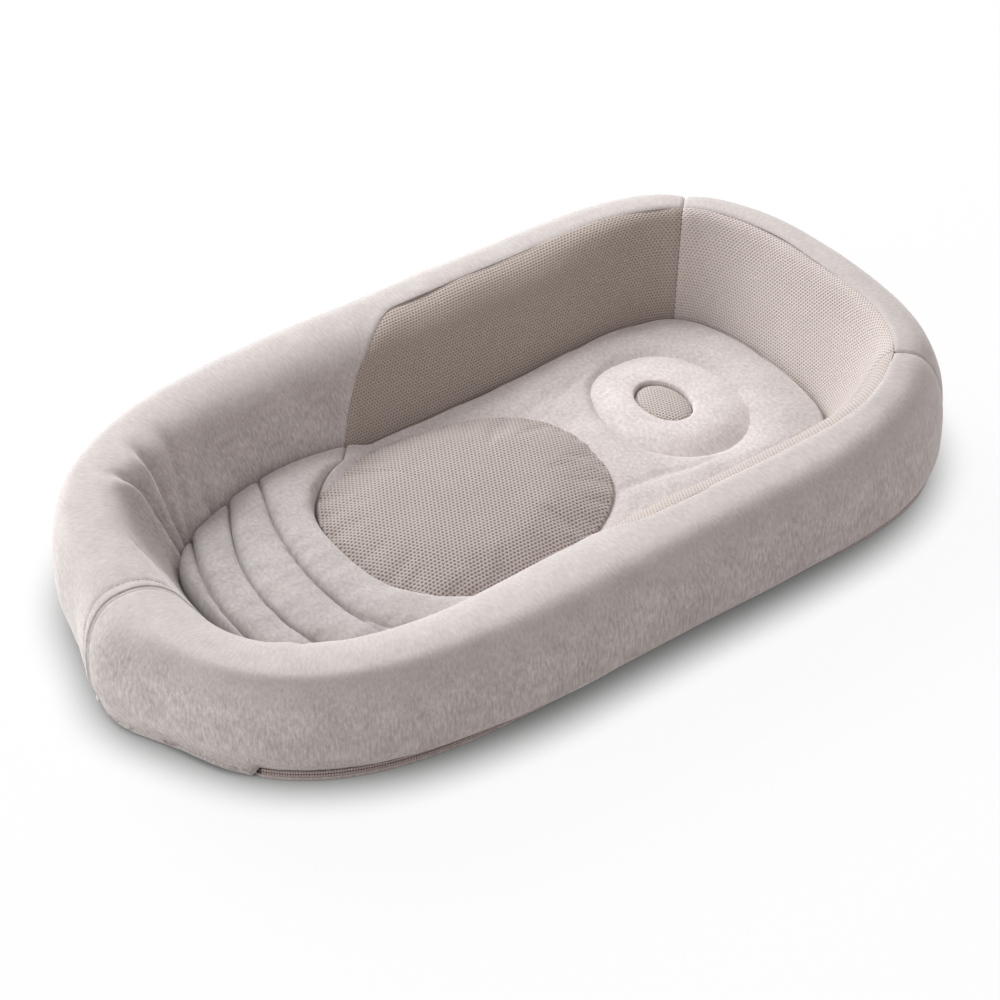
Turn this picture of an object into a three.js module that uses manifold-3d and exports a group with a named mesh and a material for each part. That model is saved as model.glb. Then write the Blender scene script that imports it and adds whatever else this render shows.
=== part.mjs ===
// Infant lounger: an oblong nest with a soft filled rim, air-mesh walls round the head, a zip round the
// bottom edge and a quilted insert that lifts out. Millimetres, +Z up, +X towards the head end, front at -Y.
// The origin is on the floor, under the middle of the length and the width.
import * as THREE from 'three';
import { mergeVertices } from 'three/addons/utils/BufferGeometryUtils.js';
import Module from 'manifold-3d';

const wasm = await Module();
wasm.setup();

// Plan of the rim: straight sides that turn into squarish round ends
const headReach = 430.2;
const footReach = 411.86;
const halfWidth = 252;
const straightToHead = 149;
const straightToFoot = 44;
const headSquareness = 2.7;
const footSquareness = 2.7;

// Section of the rim. Insets run inwards from the widest line, at the head tip, the sides and the foot tip.
const baseTuck = { head: 4, side: 29, foot: 13 };
const crestInset = { head: 46, side: 39, foot: 20 };
const shoulderInset = { head: 76, side: 94, foot: 72 };
const wallInset = { head: 103, side: 122, foot: 111 };
const crestHeight = { head: 133, side: 118, foot: 115 };
const hemHeight = 10.5;
const hemRise = 5;
const bulgeHeight = 42;
const footSag = 20.1;
const footSagLift = 5;
const footSagMiddle = -19;
const footSagReach = 112;
const shoulderHeight = 93;
const mattressLine = 29;
const crestSquareness = 2.4;
const lowerBulgeShare = 0.6;
const crestReachShare = 0.6;
const shoulderReachShare = 0.55;

// Cloth, foam and the clearances between neighbours
const gap = 0.3;
const bolsterGap = 0.8;
const coverThickness = 2.4;
const meshThickness = 2.4;
const seamGap = 0.8;
const joinGap = 0.5;
const baseFabricThickness = 1.2;
const baseHemThickness = 2.4;
const baseHemHeight = 3.8;
const basePadThickness = 6;
const basePadInset = 6;
const liningThickness = 1;

// Panels of the rim
const headSeamAngle = 26.63;
const seamBandWidth = 7;
const meshStart = -106;
const meshCornerEnd = 16;
const meshCornerRun = 103;
const meshTopShare = 0.2;
const stationCount = 46;
const stationSpacingShare = 0.3;
const cornerStationCount = 6;
const rimTurns = [0, 0.35, 0.7, 1, 1.3, 1.55, 1.78, 2, 2.25, 2.5, 2.75, 3, 4, 5];

// Relief in the bolsters behind the zip
const bolsterFootInset = 8;
const bolsterReliefInset = 5.5;
const bolsterReliefHeight = 15;

// Zip: two tapes with a row of teeth each, between the base hem and the rim's hem
const zipStartAngle = 203.13;
const zipTapeThickness = 0.6;
const zipTapeWidth = 5;
const zipMiddleGap = 1;
const zipStopLength = 2.5;
const zipTeethThickness = 2.4;

// Slider and its pull tab
const sliderLength = 9;
const sliderWidth = 6.6;
const sliderPlate = 1.5;
const sliderBackPlate = 1.2;
const sliderPostLength = 2;
const sliderPostThickness = 0.4;
const sliderCornerShare = 0.25;
const archSpan = 7.3;
const archLeg = 0.9;
const archWidth = 1.2;
const archBar = 1;
const pullThickness = 1.1;
const pullPlay = 0.35;
const pullLength = 17;
const pullWidth = 5.2;
const pullArm = 1.2;
const pullEyeLength = 4.6;
const pullCornerShare = 0.33;

// Insert: a thin mattress with a rounded edge
const insertFit = 1.4;
const insertSeamHeight = 20;
const insertTopHeight = 33;
const insertCrown = 4;
const insertEdgeRound = 13;
const insertClothThickness = 1.8;
const undersideThickness = 1;
const foamClearance = 0.5;

// Foot channels: rolls between bowed seams, counted from the foot end
const firstRollWidth = 8;
const rollWidths = [38, 42, 36];
const rollHeights = [7, 12, 13, 17];
const channelBowShare = 1.672;
const padSeamBowShare = 0.98;

// Seat pad and head pad on top of the insert
const padSeamClearance = 5;
const padToRing = 34;
const padSideMargin = 16;
const padHeight = 15;
const padMeshThickness = 2;
const ringToHeadEnd = 126;
const ringHalfLength = 67;
const ringHalfWidth = 82;
const ringSquareness = 2.5;
const ringHeight = 11;
const ringClothThickness = 1.8;
const eyeHalfLength = 24;
const eyeHalfWidth = 33;
const eyeHeight = 5;
const eyeMeshThickness = 2;
const eyeOffset = 8;

// Shares that shape curves: heights across a roll, places across the insert, rings of the pads
const rollProfileShares = [0, 0.55, 0.9, 1, 0.9, 0.55, 0];
const acrossShares = [-1, -0.965, -0.9, -0.78, -0.52, -0.26, 0, 0.26, 0.52, 0.78, 0.9, 0.965, 1];
const rollRowShares = [0, 0.1, 0.28, 0.5, 0.72, 0.9, 1];
const evenRowShares = [0, 0.5, 1];
const headRowShares = [0, 0.35, 0.65, 0.85, 0.95, 1];
const straightRowShares = [0.35, 0.85];
const cornerRowShares = [0.35, 0.6];
const padRingShares = [0, 0.4, 0.68, 0.86, 0.95, 1];
const ringBandShares = [0, 0.16, 0.4, 0.66, 0.86, 0.96, 1];
const ringTopShares = [0.3, 0.62, 0.92, 1, 0.82, 0.5, 0.2];
const kidneyShares = [1.02, -0.031, 0.009, 0.03, -0.029, 0.001];
const eyeRingShares = [0, 0.5, 0.85, 1];

const bisections = 50;
const edgePointCount = 240;
const sagPower = 4;
const turnStep = 0.01;
const edgePull = 6;
const padDomePower = 2.4;
const padSegments = 28;

const mix = (from, to, share) => from + (to - from) * share;
const degrees = (angle) => THREE.MathUtils.degToRad(angle);

// Keeps the triangles that have an area, with shared corners, and turns the solid so that it faces out
function closedSolid(geometry) {
  geometry.deleteAttribute('normal');
  geometry.deleteAttribute('uv');
  const merged = mergeVertices(geometry);
  const points = merged.attributes.position;
  const index = merged.index.array;
  const corners = [0, 1, 2].map(() => new THREE.Vector3());
  const kept = [];
  let volume = 0;
  for (let start = 0; start < index.length; start += 3) {
    const [a, b, c] = index.slice(start, start + 3);
    if (a === b || b === c || c === a) continue;
    kept.push(a, b, c);
    [a, b, c].forEach((at, k) => corners[k].fromBufferAttribute(points, at));
    volume += corners[0].dot(corners[1].cross(corners[2]));
  }
  merged.setIndex(volume < 0 ? kept.reverse() : kept);
  merged.computeVertexNormals();
  return merged;
}

// A block of cells whose corners are moved to place(a, b, c), where a, b and c count the steps. The cells of
// its last face are cut along their other diagonal, so that it bends like the face opposite.
function bentBlock(stepsA, stepsB, stepsC, place) {
  const geometry = new THREE.BoxGeometry(1, 1, 1, stepsA, stepsB, stepsC);
  const lastFace = geometry.groups.at(-1);
  for (let i = lastFace.start; i < lastFace.start + lastFace.count; i += 6) {
    const [a, b, d, , c] = geometry.index.array.slice(i, i + 6);
    geometry.index.array.set([a, b, c, a, c, d], i);
  }
  const points = geometry.attributes.position;
  for (let i = 0; i < points.count; i++) {
    const a = Math.round((points.getX(i) + 0.5) * stepsA);
    const b = Math.round((points.getY(i) + 0.5) * stepsB);
    const c = Math.round((points.getZ(i) + 0.5) * stepsC);
    points.setXYZ(i, ...place(a, b, c));
  }
  return closedSolid(geometry);
}

// A turned form whose profile points are moved to place(turn share, profile number)
function bentLathe(profileCount, segments, place) {
  const profile = Array.from({ length: profileCount }, (_, j) => new THREE.Vector2(1, j));
  const geometry = new THREE.LatheGeometry(profile, segments);
  const points = geometry.attributes.position;
  for (let i = 0; i < points.count; i++) {
    const turn = Math.floor(i / profileCount) % segments;
    points.setXYZ(i, ...place(turn / segments, i % profileCount));
  }
  return closedSolid(geometry);
}

function toManifold(geometry) {
  const vertProperties = new Float32Array(geometry.attributes.position.array);
  const triVerts = new Uint32Array(geometry.index.array);
  return new wasm.Manifold(new wasm.Mesh({ numProp: 3, vertProperties, triVerts }));
}

function fromManifold(manifold) {
  const { vertProperties, triVerts } = manifold.getMesh();
  const geometry = new THREE.BufferGeometry();
  geometry.setAttribute('position', new THREE.BufferAttribute(vertProperties, 3));
  geometry.setIndex(new THREE.BufferAttribute(triVerts, 1));
  geometry.computeVertexNormals();
  return geometry;
}

// Plan outline of the rim's widest line, by polar angle; the curve runs from the head tip past the back
class Outline extends THREE.Curve {
  radius(angle) {
    const across = Math.abs(Math.cos(angle));
    const aside = Math.abs(Math.sin(angle));
    const towardsHead = Math.cos(angle) > 0;
    const straight = towardsHead ? straightToHead : straightToFoot;
    const length = (towardsHead ? headReach : footReach) - straight;
    const squareness = towardsHead ? headSquareness : footSquareness;
    let inside = 0;
    let outside = headReach + halfWidth;
    for (let i = 0; i < bisections; i++) {
      const middle = (inside + outside) / 2;
      const endShare = Math.max(middle * across - straight, 0) / length;
      const sideShare = (middle * aside) / halfWidth;
      if (endShare ** squareness + sideShare ** squareness < 1) inside = middle;
      else outside = middle;
    }
    return inside;
  }

  getPoint(turn, target = new THREE.Vector3()) {
    const angle = turn * 2 * Math.PI;
    const radius = this.radius(angle);
    return target.set(radius * Math.cos(angle), radius * Math.sin(angle), 0);
  }
}

const outline = new Outline();
outline.arcLengthDivisions = 720;
const perimeter = outline.getLength();

// A place on the outline: its point, the way inwards, how far it lies into an end, from 0 to 1, and how far
// the lower half of the rim sags outwards there
const knownPlaces = new Map();
function outlinePlace(share) {
  const turn = ((share % 1) + 1) % 1;
  if (!knownPlaces.has(turn)) {
    const point = outline.getPointAt(turn);
    const along = outline.getTangentAt(turn);
    const straight = point.x > 0 ? straightToHead : straightToFoot;
    const length = (point.x > 0 ? headReach : footReach) - straight;
    const reach = THREE.MathUtils.clamp((Math.abs(point.x) - straight) / length, 0, 1);
    const fromSag = Math.min(Math.abs(point.y - footSagMiddle) / footSagReach, 1);
    const sagShare = point.x > 0 ? 0 : Math.cos((fromSag * Math.PI) / 2) ** sagPower;
    knownPlaces.set(turn, {
      point,
      inward: new THREE.Vector3(-along.y, along.x, 0),
      end: point.x > 0 ? 'head' : 'foot',
      sag: footSag * sagShare,
      bulge: bulgeHeight + footSagLift * sagShare,
      endShare: Math.sin((reach * Math.PI) / 2) ** 2,
    });
  }
  return knownPlaces.get(turn);
}

const sizeAt = (size, place) => mix(size.side, size[place.end], place.endShare);
const tuckAt = (place) => sizeAt(baseTuck, place) - place.sag;

// Finds the share of the perimeter, between two shares, where a rising measure passes zero
function shareWhere(from, to, measure) {
  let low = from;
  let high = to;
  for (let i = 0; i < bisections; i++) {
    const middle = (low + high) / 2;
    if (measure(middle) < 0) low = middle;
    else high = middle;
  }
  return (low + high) / 2;
}

const backShareAtX = (x) => shareWhere(0, 0.5, (share) => x - outlinePlace(share).point.x);

// The share of the perimeter at a polar angle, from the angle at the back to the one at the front
function shareAtAngle(angle) {
  const wanted = degrees(angle);
  const from = angle < 180 ? 0 : 0.5;
  return shareWhere(from, from + 0.5, (share) => {
    const { point } = outlinePlace(share);
    const polar = Math.atan2(point.y, point.x);
    return (polar < 0 || share > 0.5 ? polar + 2 * Math.PI : polar) - wanted;
  });
}

// Section of the rim as [inset, height]. The turn runs 0 to 1 from the hem to the bulge, to 2 at the crest,
// to 3 at the inner shoulder, to 4 at the mattress line and to 5 at the floor.
const floorHeight = baseFabricThickness + gap + basePadThickness + gap;

function cubic(points, share) {
  const rest = 1 - share;
  const weights = [rest ** 3, 3 * rest ** 2 * share, 3 * rest * share ** 2, share ** 3];
  return [0, 1].map((axis) => points.reduce((sum, point, k) => sum + weights[k] * point[axis], 0));
}

function sectionPoint(turn, place) {
  const tuck = tuckAt(place);
  const crest = [sizeAt(crestInset, place), sizeAt(crestHeight, place)];
  const shoulder = [sizeAt(shoulderInset, place), shoulderHeight];
  const wall = [sizeAt(wallInset, place), mattressLine];
  if (turn < 1) {
    const belowBulge = place.bulge - (place.bulge - hemHeight) * lowerBulgeShare;
    const hem = [[tuck, hemHeight], [tuck, hemHeight + hemRise]];
    return cubic([...hem, [-place.sag, belowBulge], [-place.sag, place.bulge]], turn);
  }
  if (turn < 2) {
    const angle = ((turn - 1) * Math.PI) / 2;
    const power = 2 / crestSquareness;
    const inset = mix(-place.sag, crest[0], 1 - Math.cos(angle) ** power);
    return [inset, mix(place.bulge, crest[1], Math.sin(angle) ** power)];
  }
  if (turn < 3) {
    const slope = new THREE.Vector2(wall[0] - shoulder[0], wall[1] - shoulder[1]).normalize();
    const reach = (crest[1] - shoulder[1]) * shoulderReachShare;
    const leave = [mix(crest[0], shoulder[0], crestReachShare), crest[1]];
    const arrive = [shoulder[0] - slope.x * reach, shoulder[1] - slope.y * reach];
    return cubic([crest, leave, arrive, shoulder], turn - 2);
  }
  if (turn < 4) {
    return [mix(shoulder[0], wall[0], turn - 3), mix(shoulder[1], wall[1], turn - 3)];
  }
  return [wall[0], mix(wall[1], floorHeight, turn - 4)];
}

// A point of the rim: at a share of the perimeter, a turn of the section and a depth under the surface
function placeInset(share, inset, height) {
  const { point, inward } = outlinePlace(share);
  return [point.x + inward.x * inset, point.y + inward.y * inset, height];
}

function rimPoint(share, turn, depth) {
  const place = outlinePlace(share);
  const before = sectionPoint(Math.max(turn - turnStep, 0), place);
  const after = sectionPoint(Math.min(turn + turnStep, 5), place);
  const direction = new THREE.Vector2(after[0] - before[0], after[1] - before[1]).normalize();
  const [inset, height] = sectionPoint(turn, place);
  return placeInset(share, inset + direction.y * depth, height - direction.x * depth);
}

// A point on the upright band of the hem, with the zip: a depth behind its face and a height
const bandPoint = (share, depth, height) =>
  placeInset(share, tuckAt(outlinePlace(share)) + depth, height);

// Stations round the outline: the seams, the start of the zip, the corners of the mesh panels, where they lie
// closer together, and between these at even steps
const headSeamShare = shareAtAngle(headSeamAngle);
const zipStartShare = shareAtAngle(zipStartAngle);
const meshStartShare = backShareAtX(meshStart);
const meshCornerShare = backShareAtX(meshCornerEnd);
const meshFloorShare = backShareAtX(meshCornerEnd - meshCornerRun);
const tooClose = stationSpacingShare / stationCount;
const stations = [headSeamShare, 1 - headSeamShare, 0.5, zipStartShare, meshStartShare, 1 - meshStartShare];
for (let i = 0; i <= cornerStationCount; i++) {
  const share = mix(meshCornerShare, meshFloorShare, i / cornerStationCount);
  stations.push(share, 1 - share);
}
for (let i = 0; i < stationCount; i++) {
  const share = i / stationCount;
  if (stations.every((other) => Math.abs(other - share) > tooClose)) stations.push(share);
}
stations.sort((a, b) => a - b);

function stationsBetween(from, to) {
  const twice = [...stations, ...stations.map((share) => share + 1)];
  return [from, ...twice.filter((share) => share > from + tooClose && share < to - tooClose), to];
}

// Panels: the head end lies between two seams, and the sides meet in the middle of the foot end
const joinShare = joinGap / 2 / perimeter;
const bandShare = seamBandWidth / 2 / perimeter;
const clothShare = bandShare + gap / perimeter;
const panelStations = {
  back: stationsBetween(headSeamShare + joinShare, 0.5 - clothShare),
  front: stationsBetween(0.5 + clothShare, 1 - headSeamShare - joinShare),
  head: stationsBetween(1 - headSeamShare + joinShare, 1 + headSeamShare - joinShare),
};
const bolsterStations = {
  back: stationsBetween(headSeamShare + joinShare, 0.5 - joinShare),
  front: stationsBetween(0.5 + joinShare, 1 - headSeamShare - joinShare),
  head: panelStations.head,
};

// The turn where velour gives way to mesh: near the crest at the head, curving down to the floor at the foot
function meshTurn(share) {
  const { point } = outlinePlace(share);
  const toCorner = (meshCornerEnd - point.x) / meshCornerRun;
  return Math.min(mix(2 + meshTopShare, 4, Math.max(toCorner, 0) ** 2), 5);
}

// Half the seam's gap as a share of a turn, on the wall or on its foot below the mattress line
const wallLength = Math.hypot(wallInset.side - shoulderInset.side, shoulderHeight - mattressLine);
const halfSeam = (turn) => seamGap / 2 / (turn < 4 ? wallLength : mattressLine - floorHeight);
const meshEdge = (share) => meshTurn(share) + halfSeam(meshTurn(share));

function velourEnd(share) {
  const turn = meshTurn(share);
  return turn < 5 ? turn - halfSeam(turn) : turn;
}

const velourTurns = (share) => rimTurns.map((turn) => Math.min(turn, velourEnd(share)));
const meshTurns = (share) => rimTurns.map((turn) => Math.max(turn, meshEdge(share)));

// A sheet of the rim over a list of stations, with the turns of its cells at each
function rimSheet(shares, turnsAt, thickness) {
  return bentBlock(shares.length - 1, rimTurns.length - 1, 1, (a, b, c) =>
    rimPoint(shares[a], turnsAt(shares[a])[b], c * thickness));
}

const rimCover = (side) => rimSheet(panelStations[side], velourTurns, coverThickness);
const seamBand = () =>
  rimSheet([0.5 - bandShare, 0.5, 0.5 + bandShare], () => rimTurns, coverThickness);

function meshWall(side) {
  const all = panelStations[side];
  const from = side === 'front' ? 1 - meshStartShare : all[0];
  const to = side === 'back' ? meshStartShare : all.at(-1);
  return rimSheet(stationsBetween(from, to), meshTurns, meshThickness);
}

// Bolster: a filled tube inside the covers, flat underneath and relieved behind the zip
const bolsterTurns = rimTurns.slice(1);
const bolsterDepth = Math.max(coverThickness, meshThickness) + bolsterGap;

function bolsterSection(share) {
  return [
    ...bolsterTurns.map((turn) => rimPoint(share, turn, bolsterDepth)),
    bandPoint(share, bolsterFootInset, floorHeight),
    bandPoint(share, bolsterReliefInset, bolsterReliefHeight),
  ];
}

function bolster(side) {
  const shares = bolsterStations[side];
  const count = bolsterTurns.length + 2;
  const geometry = new THREE.CylinderGeometry(1, 1, 1, count, shares.length - 1);
  const points = geometry.attributes.position;
  for (let i = 0; i < points.count; i++) {
    const [x, y, z] = [points.getX(i), points.getY(i), points.getZ(i)];
    const section = bolsterSection(shares[Math.round((y + 0.5) * (shares.length - 1))]);
    const middle = section[0].map((_, axis) => section.reduce((sum, spot) => sum + spot[axis], 0) / count);
    const around = Math.round((Math.atan2(x, z) / (2 * Math.PI)) * count + count) % count;
    points.setXYZ(i, ...(Math.hypot(x, z) < 0.5 ? middle : section[around]));
  }
  return closedSolid(geometry);
}

// Flat layers of the floor: round forms about the middle, each ring of them at an inset and a height. A ring
// without an inset is the middle point.
function floorForm(rings) {
  return bentLathe(rings.length, stations.length, (turn, j) => {
    const [insetAt, height] = rings[j];
    const share = stations[Math.round(turn * stations.length)];
    return insetAt ? placeInset(share, insetAt(outlinePlace(share)), height) : [0, 0, height];
  });
}

const hemAt = (place) => tuckAt(place) + baseHemThickness;
const padAt = (place) => tuckAt(place) + basePadInset;
const wallAt = (place) => sizeAt(wallInset, place);
const liningAt = (place) => wallAt(place) + gap;

const floorLayer = (insetAt, bottom, top) =>
  floorForm([[null, bottom], [insetAt, bottom], [insetAt, top], [null, top]]);

const baseFabric = () => floorForm([[null, 0], [tuckAt, 0], [tuckAt, baseHemHeight], [hemAt, baseHemHeight],
  [hemAt, baseFabricThickness], [null, baseFabricThickness]]);
const basePad = () => floorLayer(padAt, baseFabricThickness + gap, floorHeight - gap);
const floorLining = () => floorLayer(liningAt, floorHeight, floorHeight + liningThickness);

// Zip: it starts at the front of the foot end and runs past the head to the start of the back's straight run
const zipEndX = -straightToFoot;
const zipEndShare = backShareAtX(zipEndX) + 1;
const zipRowHeight = (hemHeight - gap - (baseHemHeight + gap) - zipMiddleGap) / 2;
const zipMiddleHeight = baseHemHeight + gap + zipRowHeight + zipMiddleGap / 2;
const stopShare = (zipStopLength + gap) / perimeter;
const tapeDepth = zipTeethThickness + gap;

function zipStrip(from, to, depths, heights) {
  const shares = stationsBetween(from, to);
  return bentBlock(shares.length - 1, 1, 1, (a, b, c) => bandPoint(shares[a], depths[c], heights[b]));
}

// Heights of a strip that starts half the middle gap away from the zip's middle, upwards or downwards
const fromMiddle = (side, width) => {
  const near = zipMiddleHeight + (side * zipMiddleGap) / 2;
  return [near, near + side * width];
};

const zipTape = (side) => zipStrip(zipStartShare, zipEndShare, [tapeDepth, tapeDepth + zipTapeThickness],
  fromMiddle(side, zipTapeWidth));
const zipTeeth = (side) => zipStrip(zipStartShare + stopShare, zipEndShare - stopShare,
  [0, zipTeethThickness], fromMiddle(side, zipRowHeight));

function zipStop(from) {
  const to = from + zipStopLength / perimeter;
  const reach = zipRowHeight + zipMiddleGap / 2;
  return zipStrip(from, to, [0, zipTeethThickness], [zipMiddleHeight - reach, zipMiddleHeight + reach]);
}

// Slider: in its own frame X runs along the zip, Y points out of the band and Z up, from the zip's middle
const bandY = halfWidth - baseTuck.side;
const sliderRest = zipEndX + zipStopLength + gap + gap + sliderLength / 2;
const plateBack = gap;
const plateFront = plateBack + sliderPlate;
const archRoom = pullThickness + 2 * pullPlay;
const pullAxis = plateFront + pullPlay + pullThickness / 2;

function block(width, from, to, height, x) {
  const geometry = new THREE.BoxGeometry(width, to - from, height);
  geometry.translate(x, (from + to) / 2, 0);
  return toManifold(closedSolid(geometry));
}

function plate(from, to) {
  const half = sliderLength / 2;
  const round = sliderWidth * sliderCornerShare;
  const shape = new THREE.Shape();
  shape.moveTo(-half + round, -sliderWidth / 2);
  shape.lineTo(half - round, -sliderWidth / 2);
  shape.absarc(half - round, -sliderWidth / 2 + round, round, -Math.PI / 2, 0);
  shape.absarc(half - round, sliderWidth / 2 - round, round, 0, Math.PI / 2);
  shape.absarc(-half + round, sliderWidth / 2 - round, round, Math.PI / 2, Math.PI);
  shape.absarc(-half + round, -sliderWidth / 2 + round, round, Math.PI, 1.5 * Math.PI);
  const geometry = new THREE.ExtrudeGeometry(shape, { depth: to - from, bevelEnabled: false, curveSegments: 3 });
  geometry.rotateX(Math.PI / 2);
  geometry.translate(0, to, 0);
  return toManifold(closedSolid(geometry));
}

function zipSlider() {
  const tapeBack = -(tapeDepth + zipTapeThickness);
  const backFrom = tapeBack - gap - sliderBackPlate;
  const postX = -sliderLength / 2 + sliderPostLength;
  const legX = (archSpan - archLeg) / 2;
  const archInside = plateFront + archRoom;
  const archOutside = archInside + archBar;
  let body = plate(plateBack, plateFront);
  body = body.add(plate(backFrom, backFrom + sliderBackPlate));
  body = body.add(block(sliderPostLength, backFrom, plateFront, sliderPostThickness, postX));
  body = body.add(block(archLeg, plateBack, archOutside, archWidth, -legX));
  body = body.add(block(archLeg, plateBack, archOutside, archWidth, legX));
  body = body.add(block(archSpan, archInside, archOutside, archWidth, 0));
  return fromManifold(body);
}

// Pull tab: lies towards the foot end, with an eye whose end bar turns under the slider's arch
function zipPull() {
  const half = pullWidth / 2;
  const round = pullWidth * pullCornerShare;
  const bar = pullThickness / 2;
  const eyeHalf = half - pullArm;
  const shape = new THREE.Shape();
  shape.moveTo(bar, -half);
  shape.lineTo(bar, half);
  shape.lineTo(-pullLength + round, half);
  shape.absarc(-pullLength + round, half - round, round, Math.PI / 2, Math.PI);
  shape.absarc(-pullLength + round, -half + round, round, Math.PI, 1.5 * Math.PI);
  const eye = new THREE.Path();
  eye.moveTo(-bar, -eyeHalf);
  eye.lineTo(-pullEyeLength, -eyeHalf);
  eye.lineTo(-pullEyeLength, eyeHalf);
  eye.lineTo(-bar, eyeHalf);
  shape.holes.push(eye);
  const geometry = new THREE.ExtrudeGeometry(shape, {
    depth: pullThickness,
    bevelEnabled: false,
    curveSegments: 4,
  });
  geometry.rotateX(Math.PI / 2);
  geometry.translate(0, pullThickness / 2, 0);
  return closedSolid(geometry);
}

// Edge of the insert: the wall line moved in by the fit and an inset
const insertPoint = (share, inset) =>
  placeInset(share, wallAt(outlinePlace(share)) + insertFit + inset, 0).slice(0, 2);
const insertFootX = insertPoint(0.5, 0)[0];
const insertHeadX = insertPoint(0, 0)[0];
const insertHalfWidth = halfWidth - wallInset.side - insertFit;
const insertEdge = Array.from({ length: edgePointCount }, (_, i) => insertPoint(i / edgePointCount, 0));

function edgeDistance(x, y) {
  let least = Infinity;
  insertEdge.forEach(([ax, ay], i) => {
    const [bx, by] = insertEdge[(i + 1) % insertEdge.length];
    const span = (bx - ax) ** 2 + (by - ay) ** 2;
    const share = THREE.MathUtils.clamp(((x - ax) * (bx - ax) + (y - ay) * (by - ay)) / span, 0, 1);
    least = Math.min(least, Math.hypot(x - mix(ax, bx, share), y - mix(ay, by, share)));
  });
  return least;
}

function edgeRounding(x, y) {
  const share = Math.min(edgeDistance(x, y) / insertEdgeRound, 1);
  return Math.sqrt(1 - (1 - share) ** 2);
}

const crownAt = (y) => insertCrown * (1 - (y / insertHalfWidth) ** 2);
const levelAt = (y) => insertTopHeight + crownAt(y);

// Rows across the insert. Each has the share where it meets the edge at the back and a point for each
// place across, from -1 at the front to 1 at the back: the foot edge, four channel seams, two straight
// rows and the head edge.
function bowedRow(x, bow) {
  const bowAt = (y) => (bow ? y ** 2 / (2 * bow) : 0);
  const end = shareWhere(0, 0.5, (share) => {
    const [edgeX, edgeY] = insertPoint(share, 0);
    return x + bowAt(edgeY) - edgeX;
  });
  const halfSpan = insertPoint(end, 0)[1];
  return { end, at: (across) => [x + bowAt(across * halfSpan), across * halfSpan] };
}

const ringX = insertHeadX - ringToHeadEnd;
const seamPlaces = [insertFootX + firstRollWidth];
rollWidths.forEach((width) => seamPlaces.push(seamPlaces.at(-1) + width));
const bowShareAt = (i) => (i < rollWidths.length ? channelBowShare : padSeamBowShare);
const channelRows = seamPlaces.map((x, i) => bowedRow(x, insertHalfWidth * bowShareAt(i)));
const lowerStraightRow = bowedRow(mix(seamPlaces.at(-1), ringX, straightRowShares[0]));
const upperStraightRow = bowedRow(mix(seamPlaces.at(-1), ringX, straightRowShares[1]));
const footCorner = mix(channelRows[0].end, 0.5, cornerRowShares[0]);
const headCorner = mix(0, upperStraightRow.end, cornerRowShares[1]);
const rows = [
  { end: footCorner, at: (across) => insertPoint(0.5 - across * (0.5 - footCorner), 0) },
  ...channelRows,
  lowerStraightRow,
  upperStraightRow,
  { end: headCorner, at: (across) => insertPoint(across * headCorner, 0) },
];

// A point between two rows, pulled onto the edge at its two ends
function rowPoint(row, share, across) {
  const [lower, upper] = [rows[row], rows[row + 1]];
  const blend = (at) => [0, 1].map((axis) => mix(lower.at(at)[axis], upper.at(at)[axis], share));
  const side = across < 0 ? -1 : 1;
  const onEdge = insertPoint(mix(lower.end, upper.end, share), 0);
  const blended = blend(side);
  const pull = Math.abs(across) ** edgePull;
  const [x, y] = blend(across);
  return [x + (onEdge[0] - blended[0]) * pull, y + (side * onEdge[1] - blended[1]) * pull];
}

const lastRow = rows.length - 2;
const rowList = [];
for (let row = 0; row <= lastRow; row++) {
  const overRoll = row < rollHeights.length ? rollRowShares : evenRowShares;
  const shares = row === lastRow ? headRowShares : overRoll;
  shares.slice(row ? 1 : 0).forEach((share) => rowList.push([row, share]));
}

const rollHeight = (row, share) =>
  (rollHeights[row] ?? 0) * (rollProfileShares[rollRowShares.indexOf(share)] ?? 0);

// Heights of the insert's layers at a point of a row, with and without the channel fillings
const insertBottom = floorHeight + liningThickness + gap;

function coverBottom(row, share, across, filled = true) {
  const [x, y] = rowPoint(row, share, across);
  const seam = insertSeamHeight + gap;
  const full = levelAt(y) - insertClothThickness + (filled ? rollHeight(row, share) : 0);
  return mix(seam, full, edgeRounding(x, y));
}

function undersideTop(row, share, across) {
  const [x, y] = rowPoint(row, share, across);
  return mix(insertSeamHeight, insertBottom + undersideThickness, edgeRounding(x, y));
}

function insertLayer(rowPlaces, acrossPlaces, bottomAt, topAt) {
  return bentBlock(rowPlaces.length - 1, acrossPlaces.length - 1, 1, (a, b, c) => {
    const spot = [...rowPlaces[a], acrossPlaces[b]];
    return [...rowPoint(...spot), c ? topAt(...spot) : bottomAt(...spot)];
  });
}

const insertCover = () => insertLayer(rowList, acrossShares, (...spot) => coverBottom(...spot),
  (...spot) => coverBottom(...spot) + insertClothThickness);
const insertUnderside = () => insertLayer(rowList, acrossShares,
  (...spot) => undersideTop(...spot) - undersideThickness, undersideTop);

// The foam and the channel fillings end one grid line inside the cover, so they keep clear of its edge
const foamTop = (row, share, across) => coverBottom(row, share, across, false) - foamClearance;
const insertFoam = () => insertLayer(rowList.slice(1, -1), acrossShares.slice(1, -1),
  (...spot) => undersideTop(...spot) + foamClearance, foamTop);
const footRoll = (row) => insertLayer(rollRowShares.slice(1, -1).map((share) => [row, share]),
  acrossShares.slice(2, -2), (...spot) => foamTop(...spot) + gap,
  (...spot) => coverBottom(...spot) - foamClearance);

// Outlines of the pads by turn share, about their own middles
const around = (share) => share * 2 * Math.PI;
const power = (value, exponent) => Math.sign(value) * Math.abs(value) ** exponent;

const padFootX = seamPlaces.at(-1) + padSeamClearance;
const padHeadX = ringX - ringHalfLength - padToRing;
const padX = (padFootX + padHeadX) / 2;

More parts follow.
